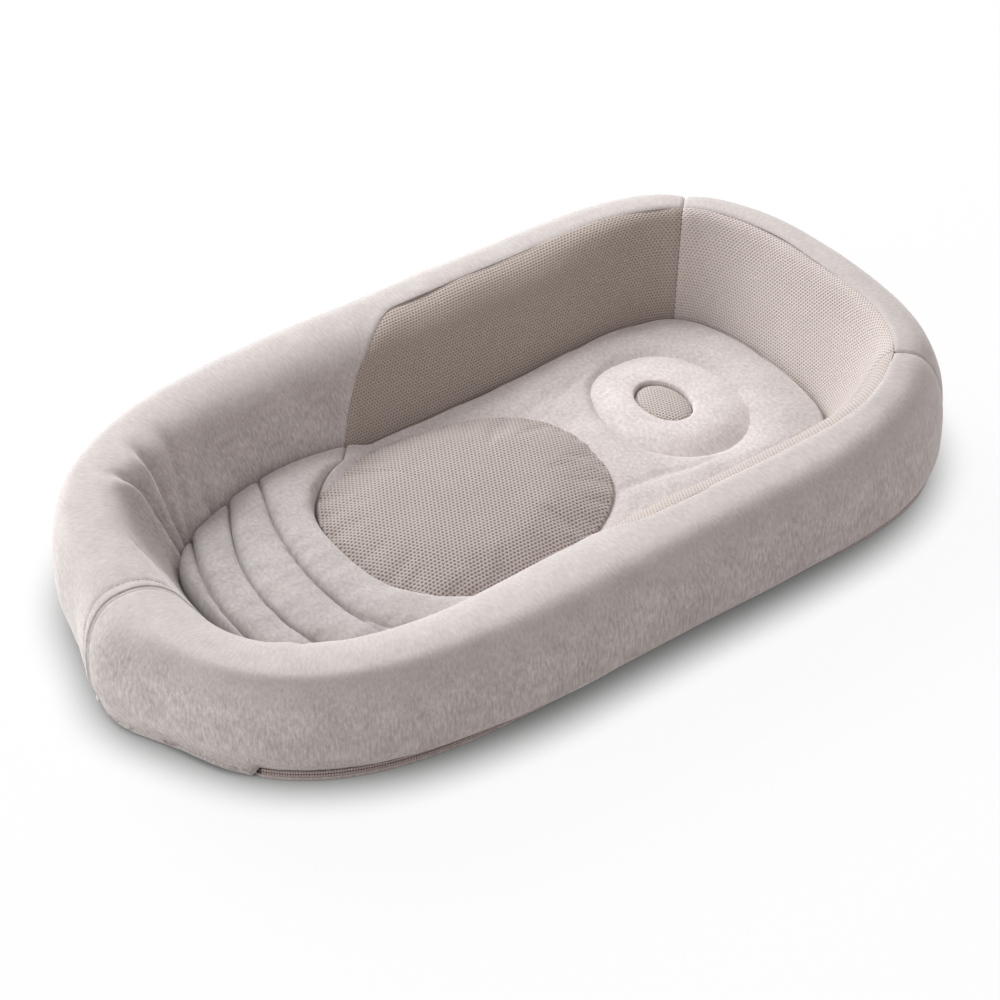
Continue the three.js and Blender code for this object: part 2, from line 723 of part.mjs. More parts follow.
function padOutline(share) {
  const angle = around(share);
  const reach = kidneyShares.reduce((sum, value, k) => sum + value * Math.cos(k * angle), 0);
  return [((padHeadX - padFootX) / 2) * reach * Math.cos(angle),
    (insertHalfWidth - padSideMargin) * reach * Math.sin(angle)];
}

function ringOutline(share) {
  const angle = around(share);
  return [ringHalfLength * power(Math.cos(angle), 2 / ringSquareness),
    ringHalfWidth * power(Math.sin(angle), 2 / ringSquareness)];
}

const eyeOutline = (share) =>
  [eyeHalfLength * Math.cos(around(share)) - eyeOffset, eyeHalfWidth * Math.sin(around(share))];

// A pad over the insert, between an inner and an outer outline. Each ring has a share of the way out, a
// bottom and a top over the insert. Without an inner outline it closes over its middle.
function padSolid(middleX, inner, outer, rings) {
  const loop = inner ? 1 : 0;
  const count = rings.length * 2 + loop;
  return bentLathe(count, padSegments, (turn, j) => {
    const k = j % (rings.length * 2);
    const onTop = k >= rings.length;
    const [share, bottom, top] = rings[onTop ? rings.length * 2 - 1 - k : k];
    const from = inner ? inner(turn) : [0, 0];
    const to = outer(turn);
    const y = mix(from[1], to[1], share);
    return [middleX + mix(from[0], to[0], share), y, levelAt(y) + (onTop ? top : bottom)];
  });
}

const padDome = (share) => (1 - share ** padDomePower) ** (1 / padDomePower);
const padTop = (share) => gap + padMeshThickness + (padHeight - padMeshThickness) * padDome(share);
const seatPadMesh = () => padSolid(padX, null, padOutline, padRingShares.map((share) =>
  [share, Math.max(padTop(share) - padMeshThickness, gap), padTop(share)]));
const seatPadFoam = () => padSolid(padX, null, padOutline, padRingShares.slice(0, -1).map((share) =>
  [share, gap, padTop(share) - padMeshThickness - foamClearance]));

const ringTop = (k) => gap + ringHeight * ringTopShares[k];
const ringBottom = (k) => Math.max(ringTop(k) - ringClothThickness, gap);
const headRingCover = () => padSolid(ringX, eyeOutline, ringOutline, ringBandShares.map((share, k) =>
  [share, k && k < ringBandShares.length - 1 ? ringBottom(k) : gap, ringTop(k)]));
const headRingFilling = () => padSolid(ringX, eyeOutline, ringOutline,
  ringBandShares.slice(1, -1).map((share, k) => [share, gap, ringBottom(k + 1) - foamClearance]));

const eyeInside = (share) => eyeOutline(share).map((value, axis) => (axis ? value : value + eyeOffset)
  * (1 - joinGap / eyeHalfLength));
const headMesh = () => padSolid(ringX - eyeOffset, null, eyeInside, eyeRingShares.map((share) =>
  [share, gap, gap + mix(eyeMeshThickness, eyeHeight, 1 - share ** 2)]));

// Materials
const finishes = {
  velour: [0xcfc6c1, 0.95, 0],
  airMesh: [0xb8aa9c, 0.85, 0],
  baseCloth: [0xd3ccc6, 0.9, 0],
  lining: [0xe4dfda, 0.9, 0],
  foam: [0xe9e4cf, 0.9, 0],
  filling: [0xf2f1ee, 0.95, 0],
  zipTape: [0x8f8480, 0.85, 0],
  zipTeeth: [0x837875, 0.5, 0],
  zipMetal: [0xa8a29d, 0.35, 0.9],
};

const nest = new THREE.Group();
const zipRunner = new THREE.Group();
const pull = new THREE.Group();
const insert = new THREE.Group();

function add(group, name, geometry, finish) {
  const [color, roughness, metalness] = finishes[finish];
  const mesh = new THREE.Mesh(geometry, new THREE.MeshStandardMaterial({ color, roughness, metalness }));
  mesh.name = name;
  group.add(mesh);
}

add(nest, 'base_fabric', baseFabric(), 'baseCloth');
add(nest, 'base_pad', basePad(), 'foam');
add(nest, 'floor_lining', floorLining(), 'lining');
for (const side of ['front', 'back', 'head']) {
  add(nest, `rim_cover_${side}`, rimCover(side), 'velour');
  add(nest, `mesh_wall_${side}`, meshWall(side), 'airMesh');
  add(nest, `bolster_${side}`, bolster(side), 'filling');
}
add(nest, 'foot_seam_band', seamBand(), 'velour');
for (const [name, side] of [['upper', 1], ['lower', -1]]) {
  add(nest, `zip_tape_${name}`, zipTape(side), 'zipTape');
  add(nest, `zip_teeth_${name}`, zipTeeth(side), 'zipTeeth');
}
add(nest, 'zip_stop_start', zipStop(zipStartShare), 'zipMetal');
add(nest, 'zip_stop_end', zipStop(zipEndShare - zipStopLength / perimeter), 'zipMetal');

add(zipRunner, 'zip_slider', zipSlider(), 'zipMetal');
add(pull, 'zip_pull', zipPull(), 'zipMetal');
pull.position.set(0, pullAxis, 0);
zipRunner.add(pull);
zipRunner.position.set(sliderRest, bandY, zipMiddleHeight);
nest.add(zipRunner);

add(insert, 'insert_underside', insertUnderside(), 'lining');
add(insert, 'insert_foam', insertFoam(), 'foam');
add(insert, 'insert_cover', insertCover(), 'velour');
rollHeights.forEach((_, row) => add(insert, `foot_roll_${row + 1}`, footRoll(row), 'filling'));
add(insert, 'seat_pad_foam', seatPadFoam(), 'foam');
add(insert, 'seat_pad_mesh', seatPadMesh(), 'airMesh');
add(insert, 'head_ring_filling', headRingFilling(), 'filling');
add(insert, 'head_ring_cover', headRingCover(), 'velour');
add(insert, 'head_mesh', headMesh(), 'airMesh');

const lounger = new THREE.Group();
lounger.add(nest, insert);
export default lounger;
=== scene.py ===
"""Infant lounger. Metres, +Z up, +X towards the head end, the front at -Y."""
from functools import cache
from math import atan2, copysign, cos, exp, hypot, pi, radians, sin, sqrt

import bmesh
import bpy
import numpy as np
from mathutils import Matrix, Vector, noise


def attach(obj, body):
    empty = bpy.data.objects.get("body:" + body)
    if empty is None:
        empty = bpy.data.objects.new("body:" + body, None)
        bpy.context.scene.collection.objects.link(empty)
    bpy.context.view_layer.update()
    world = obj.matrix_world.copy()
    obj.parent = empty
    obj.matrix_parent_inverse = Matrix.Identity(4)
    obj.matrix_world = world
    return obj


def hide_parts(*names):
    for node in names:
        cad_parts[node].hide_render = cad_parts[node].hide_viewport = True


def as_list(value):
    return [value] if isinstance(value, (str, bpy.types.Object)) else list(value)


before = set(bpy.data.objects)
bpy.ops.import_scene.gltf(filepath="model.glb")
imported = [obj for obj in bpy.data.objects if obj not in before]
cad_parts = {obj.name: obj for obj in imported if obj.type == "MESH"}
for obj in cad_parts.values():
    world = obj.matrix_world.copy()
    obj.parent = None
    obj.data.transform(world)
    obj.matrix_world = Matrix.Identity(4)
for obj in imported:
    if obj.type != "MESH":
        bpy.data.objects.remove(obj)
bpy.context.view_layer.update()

MM = 0.001

# Camera, as for the photograph: above the object, turned about it, with a long lens
CAMERA_AZIMUTH = radians(-36.69)
CAMERA_ELEVATION = radians(39.46)
CAMERA_DISTANCE = 2.300
CAMERA_TARGET = Vector((-0.0211, -0.0273, 0.0483))
CAMERA_LENS = 92.14
SENSOR_WIDTH = 36

# Plan of the rim, in millimetres
HEAD_REACH = 430.2
FOOT_REACH = 411.86
HALF_WIDTH = 252
STRAIGHT_TO_HEAD = 149
STRAIGHT_TO_FOOT = 44
SQUARENESS = 2.7

# Section of the rim: insets from the widest line and heights, at the head tip, the foot tip and the sides
BASE_TUCK = (4, 13, 29)
CREST_INSET = (46, 20, 39)
SHOULDER_INSET = (76, 69, 94)
WALL_INSET = (103, 105, 122)
CREST_HEIGHT = (133, 115, 118)
HEM_HEIGHT = 10.5
HEM_RISE = 5
BULGE_HEIGHT = 42
LOWER_BULGE_SHARE = 0.6
SHOULDER_HEIGHT = 93
MATTRESS_LINE = 29
FLOOR_HEIGHT = 7.8
CREST_SQUARENESS = 2.4
CREST_REACH_SHARE = 0.6
SHOULDER_REACH_SHARE = 0.55
SAG, SAG_LIFT, SAG_MIDDLE, SAG_REACH = 20.1, 5, -19, 112

# Panels of the rim, and cloth
HEAD_SEAM_ANGLE = 26.63
SEAM_BAND_WIDTH = 8
MESH_START_X = -106
MESH_CORNER_END = 22
MESH_CORNER_RUN = 109
MESH_CORNER_POWER = 1.75
MESH_TOP_TURN, MESH_FRONT_TURN = 2.2, 0.16
MESH_FRONT_END, MESH_FRONT_RUN = 300, 120
EDGE_WAVER, EDGE_WAVES = 0.06, 24
JOIN_GAP = 0.5

# Cloth: thicknesses, allowance for seams, and the cut sizes of the plain sheets
CLOTH, BAND_CLOTH, BASE_CLOTH, LINING_CLOTH, UNDER_CLOTH = 2.2, 2, 1.1, 0.8, 0.9
SEAM_ALLOWANCE = 20
MESH_CUT, BASE_CUT, INSERT_CUT = 165, (860, 520), (640, 265)

# Zip
ZIP_START_ANGLE = 203.13
ZIP_END_X = -44
ZIP_MIDDLE = 7.15
ZIP_MIDDLE_GAP = 1
ZIP_ROW_HEIGHT = 2.55
TAPE_WIDTH = 5
TOOTH_PITCH = 2.4
TOOTH_DEPTH = 2.3
TOOTH_FILL, TOOTH_TILT, TOOTH_MARGIN = 0.84, 0.12, 2.8
TAPE_DEPTH, TAPE_THICKNESS = 2.7, 0.5
STOP_LENGTH, STOP_DEPTH = 2.5, 2.2

# Insert
INSERT_FIT = 1.4
INSERT_SEAM = 20
INSERT_UNDERSIDE, LINING_UNDERSIDE = 10.6, 10.2
INSERT_TOP = 33
INSERT_CROWN = 4
INSERT_ROUND = 13
TOP_ROUND = 7
WALL_SLOPE = 0.4375
FIRST_ROLL = 7.5
ROLL_WIDTHS = (35, 48, 39)
ROLL_HEIGHTS = (7, 12, 13, 17)
ROLL_WALL_LEVELS = ((-3, -3), (-3, 0), (0, 5), (5, 4))
SEAM_LEVELS = (1, 3, 6, 8, 0)
CHANNEL_BOWS, BOW_MIDDLE = (260, 226, 320), -28
RING_TO_HEAD_END = 126
PAD_TO_RING = 34
PAD_SEAM_CLEARANCE = 5
PAD_SIDE_MARGIN, PAD_FRONT = 16, 1.08
PAD_HEIGHT, PAD_POWER = 15, 2.4
PAD_LEAVE, LEAVE_SLOPE = -62, 1.0
PAD_BOTTOM = 0.4
KIDNEY_SHARES = (1.02, -0.031, 0.009, 0.03, -0.029, 0.001)
RING_HALF_LENGTH, RING_HALF_WIDTH, RING_SQUARENESS = 67, 82, 2.5
RING_HEIGHT = 11
EYE_HALF_LENGTH, EYE_HALF_WIDTH, EYE_OFFSET = 24, 33, 8
EYE_HEIGHT, EYE_POWER = 9.6, 3.6
EYE_SHARES = (1, 0.99, 0.97, 0.93, 0.86, 0.76, 0.62, 0.45, 0.25, 0)

# Grids: spacing along the rim and up its section in millimetres, and counts of cells
COLUMN_STEP, ROW_STEP = 3.5, 3.3
BAND_CELLS, WALL_ROWS, BOLSTER_ROWS = (12, 130), 48, 46
ROW_CELLS, ACROSS_CELLS = (6, 16, 18, 18, 30, 34, 26), 96
ACROSS_TURN = pi / 2 * 0.86
PAD_COLUMNS, PAD_STEPS = 150, 26
FLOOR_COLUMNS, TAPE_CELLS = 320, (420, 4)

# Studio: lamps by the way to them, edge in metres and power, and the looks of the floor
SOFTBOXES = {
    "key_softbox": ((0, 1, 0.76), 1.6, 114),
    "foot_softbox": ((-1, 0.35, 0.4), 1.6, 31),
    "head_softbox": ((0.9, 0.35, 0.6), 2.2, 13),
}
LAMP_DISTANCE = 3.3
SURROUND_LIGHT = 0.51
FLOOR_HALF_SIZE, FLOOR_DROP = 6, 0.0005
SHADOW_REACH, FLOOR_SEEN, FLOOR_GLOW = 45, "404040", 0.935


def mix(start, end, share):
    return start + (end - start) * share


def bump(distance, width):
    """A smooth swelling that is 1 at no distance and fades over the width."""
    return exp(-((distance / width) ** 2))


def ramp(value, low, high):
    """0 up to low, 1 from high, and smooth between them."""
    share = min(max((value - low) / (high - low), 0), 1)
    return share * share * (3 - 2 * share)


def running_lengths(points):
    return np.concatenate([[0], np.cumsum(np.linalg.norm(np.diff(points, axis=0), axis=1))])


def bisect(low, high, falls_short):
    """The two values between which falls_short(value) turns from true to false."""
    for _ in range(40):
        middle = (low + high) / 2
        low, high = (middle, high) if falls_short(middle) else (low, middle)
    return low, high


def dome(share, power):
    """1 at 0 and 0 at 1, and round between them."""
    return (1 - share**power) ** (1 / power)


# Plan and section of the rim
def end_sizes(x):
    """The length of the straight side towards this end, and that of the rounded end."""
    straight, reach = (STRAIGHT_TO_HEAD, HEAD_REACH) if x > 0 else (STRAIGHT_TO_FOOT, FOOT_REACH)
    return straight, reach - straight


def outline_radius(angle):
    across, aside = abs(cos(angle)), abs(sin(angle))
    straight, length = end_sizes(cos(angle))

    def is_inside(radius):
        end_share = max(radius * across - straight, 0) / length
        return end_share ** SQUARENESS + (radius * aside / HALF_WIDTH) ** SQUARENESS < 1

    return bisect(0, HEAD_REACH + HALF_WIDTH, is_inside)[0]


ANGLES = np.linspace(0, 2 * pi, 1441)
RADII = np.array([outline_radius(angle) for angle in ANGLES])
OUTLINE = np.stack([RADII * np.cos(ANGLES), RADII * np.sin(ANGLES)], axis=1)
OUTLINE_LENGTHS = running_lengths(OUTLINE)
PERIMETER = float(OUTLINE_LENGTHS[-1])


def outline_point(share):
    at = (share % 1) * PERIMETER
    return Vector([np.interp(at, OUTLINE_LENGTHS, OUTLINE[:, axis]) for axis in (0, 1)])


class Place:
    """A place on the outline: its point, the way inwards, and the section's sizes there."""

    def __init__(self, share):
        self.share = share
        self.point = outline_point(share)
        x, y = self.point
        along = (outline_point(share + 0.0015) - outline_point(share - 0.0015)).normalized()
        self.inward = Vector((-along.y, along.x))
        head = x > 0
        straight, length = end_sizes(x)
        reach = min(max((abs(x) - straight) / length, 0), 1)
        end, end_share = (0 if head else 1), sin(reach * pi / 2) ** 2
        self.crest_inset, self.shoulder, self.wall, self.crest, tuck = (
            mix(size[-1], size[end], end_share)
            for size in (CREST_INSET, SHOULDER_INSET, WALL_INSET, CREST_HEIGHT, BASE_TUCK)
        )
        from_sag = min(abs(y - SAG_MIDDLE) / SAG_REACH, 1)
        sag_share = 0 if head else cos(from_sag * pi / 2) ** 4
        self.sag = SAG * sag_share
        self.bulge = BULGE_HEIGHT + SAG_LIFT * sag_share
        self.tuck = tuck - self.sag
        corner = (MESH_CORNER_END - x) / MESH_CORNER_RUN
        waver = EDGE_WAVER * noise.noise(Vector((share * EDGE_WAVES, 0.5, 7.3)))
        lower = MESH_FRONT_TURN * ramp(MESH_FRONT_END - x, 0, MESH_FRONT_RUN)
        top = MESH_TOP_TURN + waver + (lower if y < 0 else 0)
        self.mesh_turn = min(mix(top, 4, max(corner, 0) ** MESH_CORNER_POWER), 5)

    def at(self, inset, height):
        """The point at an inset from the outline and a height, in metres."""
        return Vector((*(self.point + self.inward * inset), height)) * MM


known_place = cache(Place)


def place(share):
    return known_place(round(share % 1, 7))


def cubic(points, share):
    rest = 1 - share
    weights = (rest**3, 3 * rest**2 * share, 3 * rest * share**2, share**3)
    return tuple(sum(weight * point[axis] for weight, point in zip(weights, points)) for axis in (0, 1))


def section_point(turn, spot):
    """Inset and height. Turns: 0 hem, 1 bulge, 2 crest, 3 shoulder, 4 mattress line, 5 floor."""
    if turn < 1:
        below = spot.bulge - (spot.bulge - HEM_HEIGHT) * LOWER_BULGE_SHARE
        hem = ((spot.tuck, HEM_HEIGHT), (spot.tuck, HEM_HEIGHT + HEM_RISE))
        return cubic((*hem, (-spot.sag, below), (-spot.sag, spot.bulge)), turn)
    if turn < 2:
        angle, power = (turn - 1) * pi / 2, 2 / CREST_SQUARENESS
        out = 1 - max(cos(angle), 0) ** power
        return mix(-spot.sag, spot.crest_inset, out), mix(spot.bulge, spot.crest, sin(angle) ** power)
    if turn < 3:
        run, fall = spot.wall - spot.shoulder, MATTRESS_LINE - SHOULDER_HEIGHT
        reach = (spot.crest - SHOULDER_HEIGHT) * SHOULDER_REACH_SHARE / hypot(run, fall)
        leave = (mix(spot.crest_inset, spot.shoulder, CREST_REACH_SHARE), spot.crest)
        arrive = (spot.shoulder - run * reach, SHOULDER_HEIGHT - fall * reach)
        ends = (spot.crest_inset, spot.crest), (spot.shoulder, SHOULDER_HEIGHT)
        return cubic((ends[0], leave, arrive, ends[1]), turn - 2)
    if turn < 4:
        return mix(spot.shoulder, spot.wall, turn - 3), mix(SHOULDER_HEIGHT, MATTRESS_LINE, turn - 3)
    return spot.wall, mix(MATTRESS_LINE, FLOOR_HEIGHT, turn - 4)


def rim_point(share, turn, depth=0):
    spot = place(share)
    before, after = section_point(max(turn - 0.02, 0), spot), section_point(min(turn + 0.02, 5), spot)
    run, rise = after[0] - before[0], after[1] - before[1]
    length = hypot(run, rise)
    inset, height = section_point(turn, spot)
    return spot.at(inset + rise / length * depth, height - run / length * depth)


def share_where(low, high, measure):
    return sum(bisect(low, high, lambda share: measure(outline_point(share)) < 0)) / 2


def angle_past(point, degrees):
    return atan2(point.y, point.x) - radians(degrees)


HEAD_SEAM = share_where(0, 0.5, lambda point: angle_past(point, HEAD_SEAM_ANGLE))
ZIP_START = share_where(0.5, 1, lambda point: angle_past(point, ZIP_START_ANGLE) + 2 * pi)
MESH_START = share_where(0, 0.5, lambda point: MESH_START_X - point.x)
ZIP_END = share_where(0, 0.5, lambda point: ZIP_END_X - point.x) + 1
JOIN = JOIN_GAP / 2 / PERIMETER
BAND = SEAM_BAND_WIDTH / 2 / PERIMETER


# Relief of the velour: folds at the inner corners of the foot end, seams, and slack
TURN_LENGTHS = (0, 40, 132, 194, 264, 285)
SECTION_LENGTH = TURN_LENGTHS[-1]
INNER_SHARE = 0.55
BACK_FOLDS = (
    (((2.2, 0.422), (2.6, 0.42), (3.08, 0.4165), (3.5, 0.419), (3.86, 0.424), (4.6, 0.446)), 10.0),
    (((2.1, 0.394), (2.54, 0.399), (3.02, 0.401), (3.44, 0.4045), (3.8, 0.409), (4.6, 0.425)), 8.5),
    (((2.2, 0.378), (2.6, 0.381), (3.14, 0.385), (3.56, 0.392), (4.2, 0.404)), 4.6),
    (((3.1, 0.3755), (3.8, 0.3773), (4.6, 0.382)), 5.0),
    (((2.5, 0.47), (3.08, 0.4715), (3.8, 0.48)), 3.0),
)
FRONT_FOLDS = (
    (((2.4, 0.588), (3.1, 0.581), (4.1, 0.569)), 3.2),
    (((2.55, 0.608), (3.2, 0.601), (4.15, 0.588)), 2.8),
    (((2.8, 0.548), (3.3, 0.54), (4.0, 0.53)), 1.6),
)
# Where the filling stands fuller: share, reach along the rim, turn, reach in turns, height
FULL_PLACES = ((0.435, 110, 2.5, 0.4, 6.5), (0.59, 90, 2.75, 0.45, 4.5))
# Furrows at the seams, in pairs of depth and width
HEAD_FURROW = ((2.0, 2.4), (1.6, 17))
BACK_FURROW, FRONT_FURROW = ((1.1, 1.9), (0.5, 14)), ((1.6, 1.9), (0.9, 14))
FURROW_REACH = 60
SEAM_LEAN, TOPSTITCH = 15, 4.2
STITCH_LENGTH, STITCH_PITCH, THREAD = 2.6, 3.8, 0.42
SKIRT, SKIRT_FULLNESS = 9.8, 5.5


def length_at(turn):
    return float(np.interp(turn, range(6), TURN_LENGTHS))


def turn_at(length):
    return float(np.interp(length, TURN_LENGTHS, range(6)))


def fold_relief(share, turn, folds, side):
    """Height of the folds: ridges, each with a steep valley on the side away from the foot."""
    total = 0
    for path, height in folds:
        turns, shares = zip(*path)
        if not turns[0] < turn < turns[-1]:
            continue
        fade = ramp(turn, turns[0], turns[0] + 0.75) * ramp(turns[-1] - turn, 0, 0.5)
        beside = (float(np.interp(turn, turns, shares)) - share) * side * PERIMETER * INNER_SHARE
        ridge = 0.7 * bump(beside + 2.5, 8.5 if beside < -2.5 else 4.6)
        total += height * fade * (ridge - 0.8 * bump(beside - 5.2, 4.0))
    return total


def furrow(away, pairs):
    return sum(depth * bump(away, width) for depth, width in pairs)


def slack(point, size, amount, seed):
    """Slow unevenness of stretched cloth."""
    return amount * noise.noise(point / (size * MM) + Vector((seed, seed, seed)))


def rim_relief(share, turn):
    """How far the velour stands off its plain form, in millimetres."""
    total = 0
    for seam in (HEAD_SEAM, 1 - HEAD_SEAM):
        away = abs((share - seam + 0.5) % 1 - 0.5) * PERIMETER
        total -= furrow(away, HEAD_FURROW) if away < FURROW_REACH else 0
    from_band = abs(share - 0.5) * PERIMETER - SEAM_BAND_WIDTH / 2
    if 0 < from_band < FURROW_REACH:
        total -= furrow(from_band, BACK_FURROW if share < 0.5 else FRONT_FURROW)
    total -= 0.7 * bump(from_band - TOPSTITCH, 1.7) if share < 0.5 else 0
    total += fold_relief(share, turn, BACK_FOLDS, 1) + fold_relief(share, turn, FRONT_FOLDS, -1)
    for at_share, run, at_turn, reach, height in FULL_PLACES:
        total += height * bump((share - at_share) * PERIMETER, run) * bump(turn - at_turn, reach)
    point = rim_point(share, turn)
    total += slack(point, 95, 1.5, 3.1) + slack(point, 34, 0.45, 8.4)
    # Gathers above the hem, where the zip holds the cloth in
    total += 0.7 * bump(length_at(turn) - 6, 12) * noise.noise(Vector((share * PERIMETER / 11, 0.3, 5.2)))
    return total


# Meshes
scene = bpy.context.scene
CLOTH_FRAMES = 20
CLOTH_SETTINGS = dict(
    quality=5, mass=0.15, tension_stiffness=12, compression_stiffness=12, shear_stiffness=5,
    bending_stiffness=0.2, use_pressure=True, vertex_group_mass="held", pin_stiffness=1,
)


def new_form():
    """An empty form, and its places on the cloth, in metres."""
    bm = bmesh.new()
    return bm, bm.loops.layers.uv.new("cloth")


def bent_grid(columns, rows, point_at, cloth_at=None, flip=False):
    """A grid with its corners at point_at(column, row), and at cloth_at(column, row) on the cloth."""
    bm, cloth = new_form()
    bmesh.ops.create_grid(bm, x_segments=columns, y_segments=rows, size=0.5)
    steps = {vert: (round((vert.co.x + 0.5) * columns), round((vert.co.y + 0.5) * rows)) for vert in bm.verts}
    for face in bm.faces:
        for loop in face.loops:
            step = steps[loop.vert]
            loop[cloth].uv = cloth_at(*step) if cloth_at else point_at(*step).xy
    for vert, step in steps.items():
        vert.co = point_at(*step)
    bmesh.ops.remove_doubles(bm, verts=bm.verts, dist=0.01 * MM)
    if flip:
        bmesh.ops.reverse_faces(bm, faces=bm.faces)
    return bm


def face_out(bm):
    """A closed form: its normals are worked out again, outwards."""
    bmesh.ops.recalc_face_normals(bm, faces=bm.faces)
    return bm


def add_object(name, data):
    made = bpy.data.objects.new(name, data)
    scene.collection.objects.link(made)
    return made


def add_form(name, bm, material, smooth=False):
    mesh = bpy.data.meshes.new(name)
    bm.to_mesh(mesh)
    bm.free()
    mesh.materials.append(material)
    for polygon in mesh.polygons:
        polygon.use_smooth = smooth
    return add_object(name, mesh)


def add_piece(name, bm, material, body, replaced=(), smooth=True):
    piece = add_form(name, bm, material, smooth)
    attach(piece, body)
    if replaced:
        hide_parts(*replaced)
    return piece


def add_sheet(name, bm, material, replaced, flat, rests_on, thickness, body="nest"):
    """A piece of cloth, with its thickness. Its cut isn't a rectangle."""
    piece = add_piece(name, bm, material, body, (replaced,))
    width, length = flat
    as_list(rests_on)
    wall = piece.modifiers.new("Thickness", "SOLIDIFY")
    wall.thickness = thickness * MM
    wall.offset = -1


def inflate(piece, held_at, pressure, cap):
    """Fills a sewn form with air pressure. held_at(point in mm) says how firmly it is held."""
    before = [vert.co.copy() for vert in piece.data.vertices]
    group = piece.vertex_groups.new(name="held")
    for vert in piece.data.vertices:
        group.add([vert.index], held_at(vert.co / MM), "REPLACE")
    cloth = piece.modifiers.new("Cloth", "CLOTH")
    for key, value in CLOTH_SETTINGS.items():
        setattr(cloth.settings, key, value)
    cloth.settings.uniform_pressure_force = pressure
    cloth.settings.effector_weights.gravity = 0
    cloth.collision_settings.use_collision = False
    cloth.point_cache.frame_start, cloth.point_cache.frame_end = 1, CLOTH_FRAMES
    for number in range(1, CLOTH_FRAMES + 1):
        scene.frame_set(number)
    filled = piece.evaluated_get(bpy.context.evaluated_depsgraph_get())
    moves = [vert.co - start for vert, start in zip(filled.data.vertices, before)]
    piece.modifiers.remove(cloth)
    piece.vertex_groups.remove(group)
    scene.frame_set(1)
    for vert, start, move in zip(piece.data.vertices, before, moves):
        vert.co = start + move * min(1, cap * MM / max(move.length, 1e-9))
    piece.data.update()


# Materials
def paint(code):
    """An sRGB hex value as linear colour."""
    values = [int(code[i : i + 2], 16) / 255 for i in (0, 2, 4)]
    return (*(v / 12.92 if v <= 0.04045 else ((v + 0.055) / 1.055) ** 2.4 for v in values), 1.0)


def add_node(tree, kind, inputs=(), **settings):
    made = tree.nodes.new("ShaderNode" + kind)
    for key, value in settings.items():
        setattr(made, key, value)
    for socket, value in dict(inputs).items():
        if isinstance(value, bpy.types.NodeSocket):
            tree.links.new(value, made.inputs[socket])
        else:
            made.inputs[socket].default_value = value
    return made


def new_material(name):
    material = bpy.data.materials.new(name)
    material.use_nodes = True
    material.node_tree.nodes.clear()
    return material, material.node_tree


def surface(tree, **inputs):
    """The shader with its sockets, and the output."""
    named = {key.replace("_", " "): value for key, value in inputs.items()}
    shader = add_node(tree, "BsdfPrincipled", named)
    add_node(tree, "OutputMaterial", {"Surface": shader.outputs[0]})


def cloth_place(tree):
    return add_node(tree, "UVMap", uv_map="cloth").outputs[0]


def object_place(tree):
    return add_node(tree, "TexCoord").outputs["Object"]


def math_node(tree, operation, first, second=0.0):
    return add_node(tree, "Math", {0: first, 1: second}, operation=operation).outputs[0]


def weighted(tree, *parts):
    """The sum of some values, each times its weight."""
    total, *others = (math_node(tree, "MULTIPLY", value, weight) for value, weight in parts)
    for other in others:
        total = math_node(tree, "ADD", total, other)
    return total


def relief_node(tree, strength, depth, height):
    inputs = {"Strength": strength, "Distance": depth * MM, "Height": height}
    return add_node(tree, "Bump", inputs).outputs[0]


def scaled_noise(tree, vector, sizes, detail, roughness=0.55):
    """Noise whose grain has these sizes in millimetres along the vector's axes."""
    scale = tuple(1 / (size * MM) for size in sizes)
    mapping = add_node(tree, "Mapping", {"Vector": vector, "Scale": scale})
    inputs = {"Vector": mapping.outputs[0], "Scale": 1.0, "Detail": detail, "Roughness": roughness}
    return add_node(tree, "TexNoise", inputs).outputs[0]


def mapped(tree, value, low, high, at_low, at_high):
    inputs = {0: value, 1: low, 2: high, 3: at_low, 4: at_high}
    return add_node(tree, "MapRange", inputs).outputs[0]


def mixed(tree, share, first, second):
    inputs = {0: share, 6: paint(first), 7: paint(second)}
    return add_node(tree, "Mix", inputs, data_type="RGBA").outputs[2]


def two_tone(tree, factor, low, high, dark, light):
    return mixed(tree, mapped(tree, factor, low, high, 0.0, 1.0), dark, light)


def velour_material(name, dark, light, streak_sizes, calm, painted_light_ramp):
    """Short cut pile of warm grey fibres: matt, pale at its edges, and streaked where it lies over.

    calm: the heights between which the streaks fade, and what is left of them.
    painted_light_ramp: two places along the object, and how bright the pile is painted at each: below 1 is
    painted shade, above 1 painted light.
    """
    material, tree = new_material(name)
    cloth, place_on = cloth_place(tree), object_place(tree)
    streaks = scaled_noise(tree, cloth, streak_sizes, 2.0)
    fibres = scaled_noise(tree, cloth, (1.3, 2.6, 1.0), 2.0)
    patches = scaled_noise(tree, place_on, (24, 24, 24), 3.0, 0.6)
    tone = weighted(tree, (streaks, 0.52), (fibres, 0.20), (patches, 0.28))
    along, _, height = add_node(tree, "SeparateXYZ", {0: place_on}).outputs
    left = mapped(tree, height, calm[0], calm[1], 1.0, calm[2])
    tone = math_node(tree, "MULTIPLY", math_node(tree, "SUBTRACT", tone, 0.5), left)
    colour = two_tone(tree, math_node(tree, "ADD", tone, 0.5), 0.38, 0.62, dark, light)
    # The pile's colour is scaled along the object: painted shade over the insert's rolls, painted light on
    # the head ring.
    shade = {0: colour, "Scale": mapped(tree, along, *painted_light_ramp)}
    colour = add_node(tree, "VectorMath", shade, operation="SCALE").outputs[0]
    pile = relief_node(tree, 0.28, 0.5, weighted(tree, (streaks, 0.6), (fibres, 0.3)))
    surface(tree, Base_Color=colour, Roughness=0.92, Sheen_Weight=0.3, Sheen_Roughness=0.45, Normal=pile)
    return material


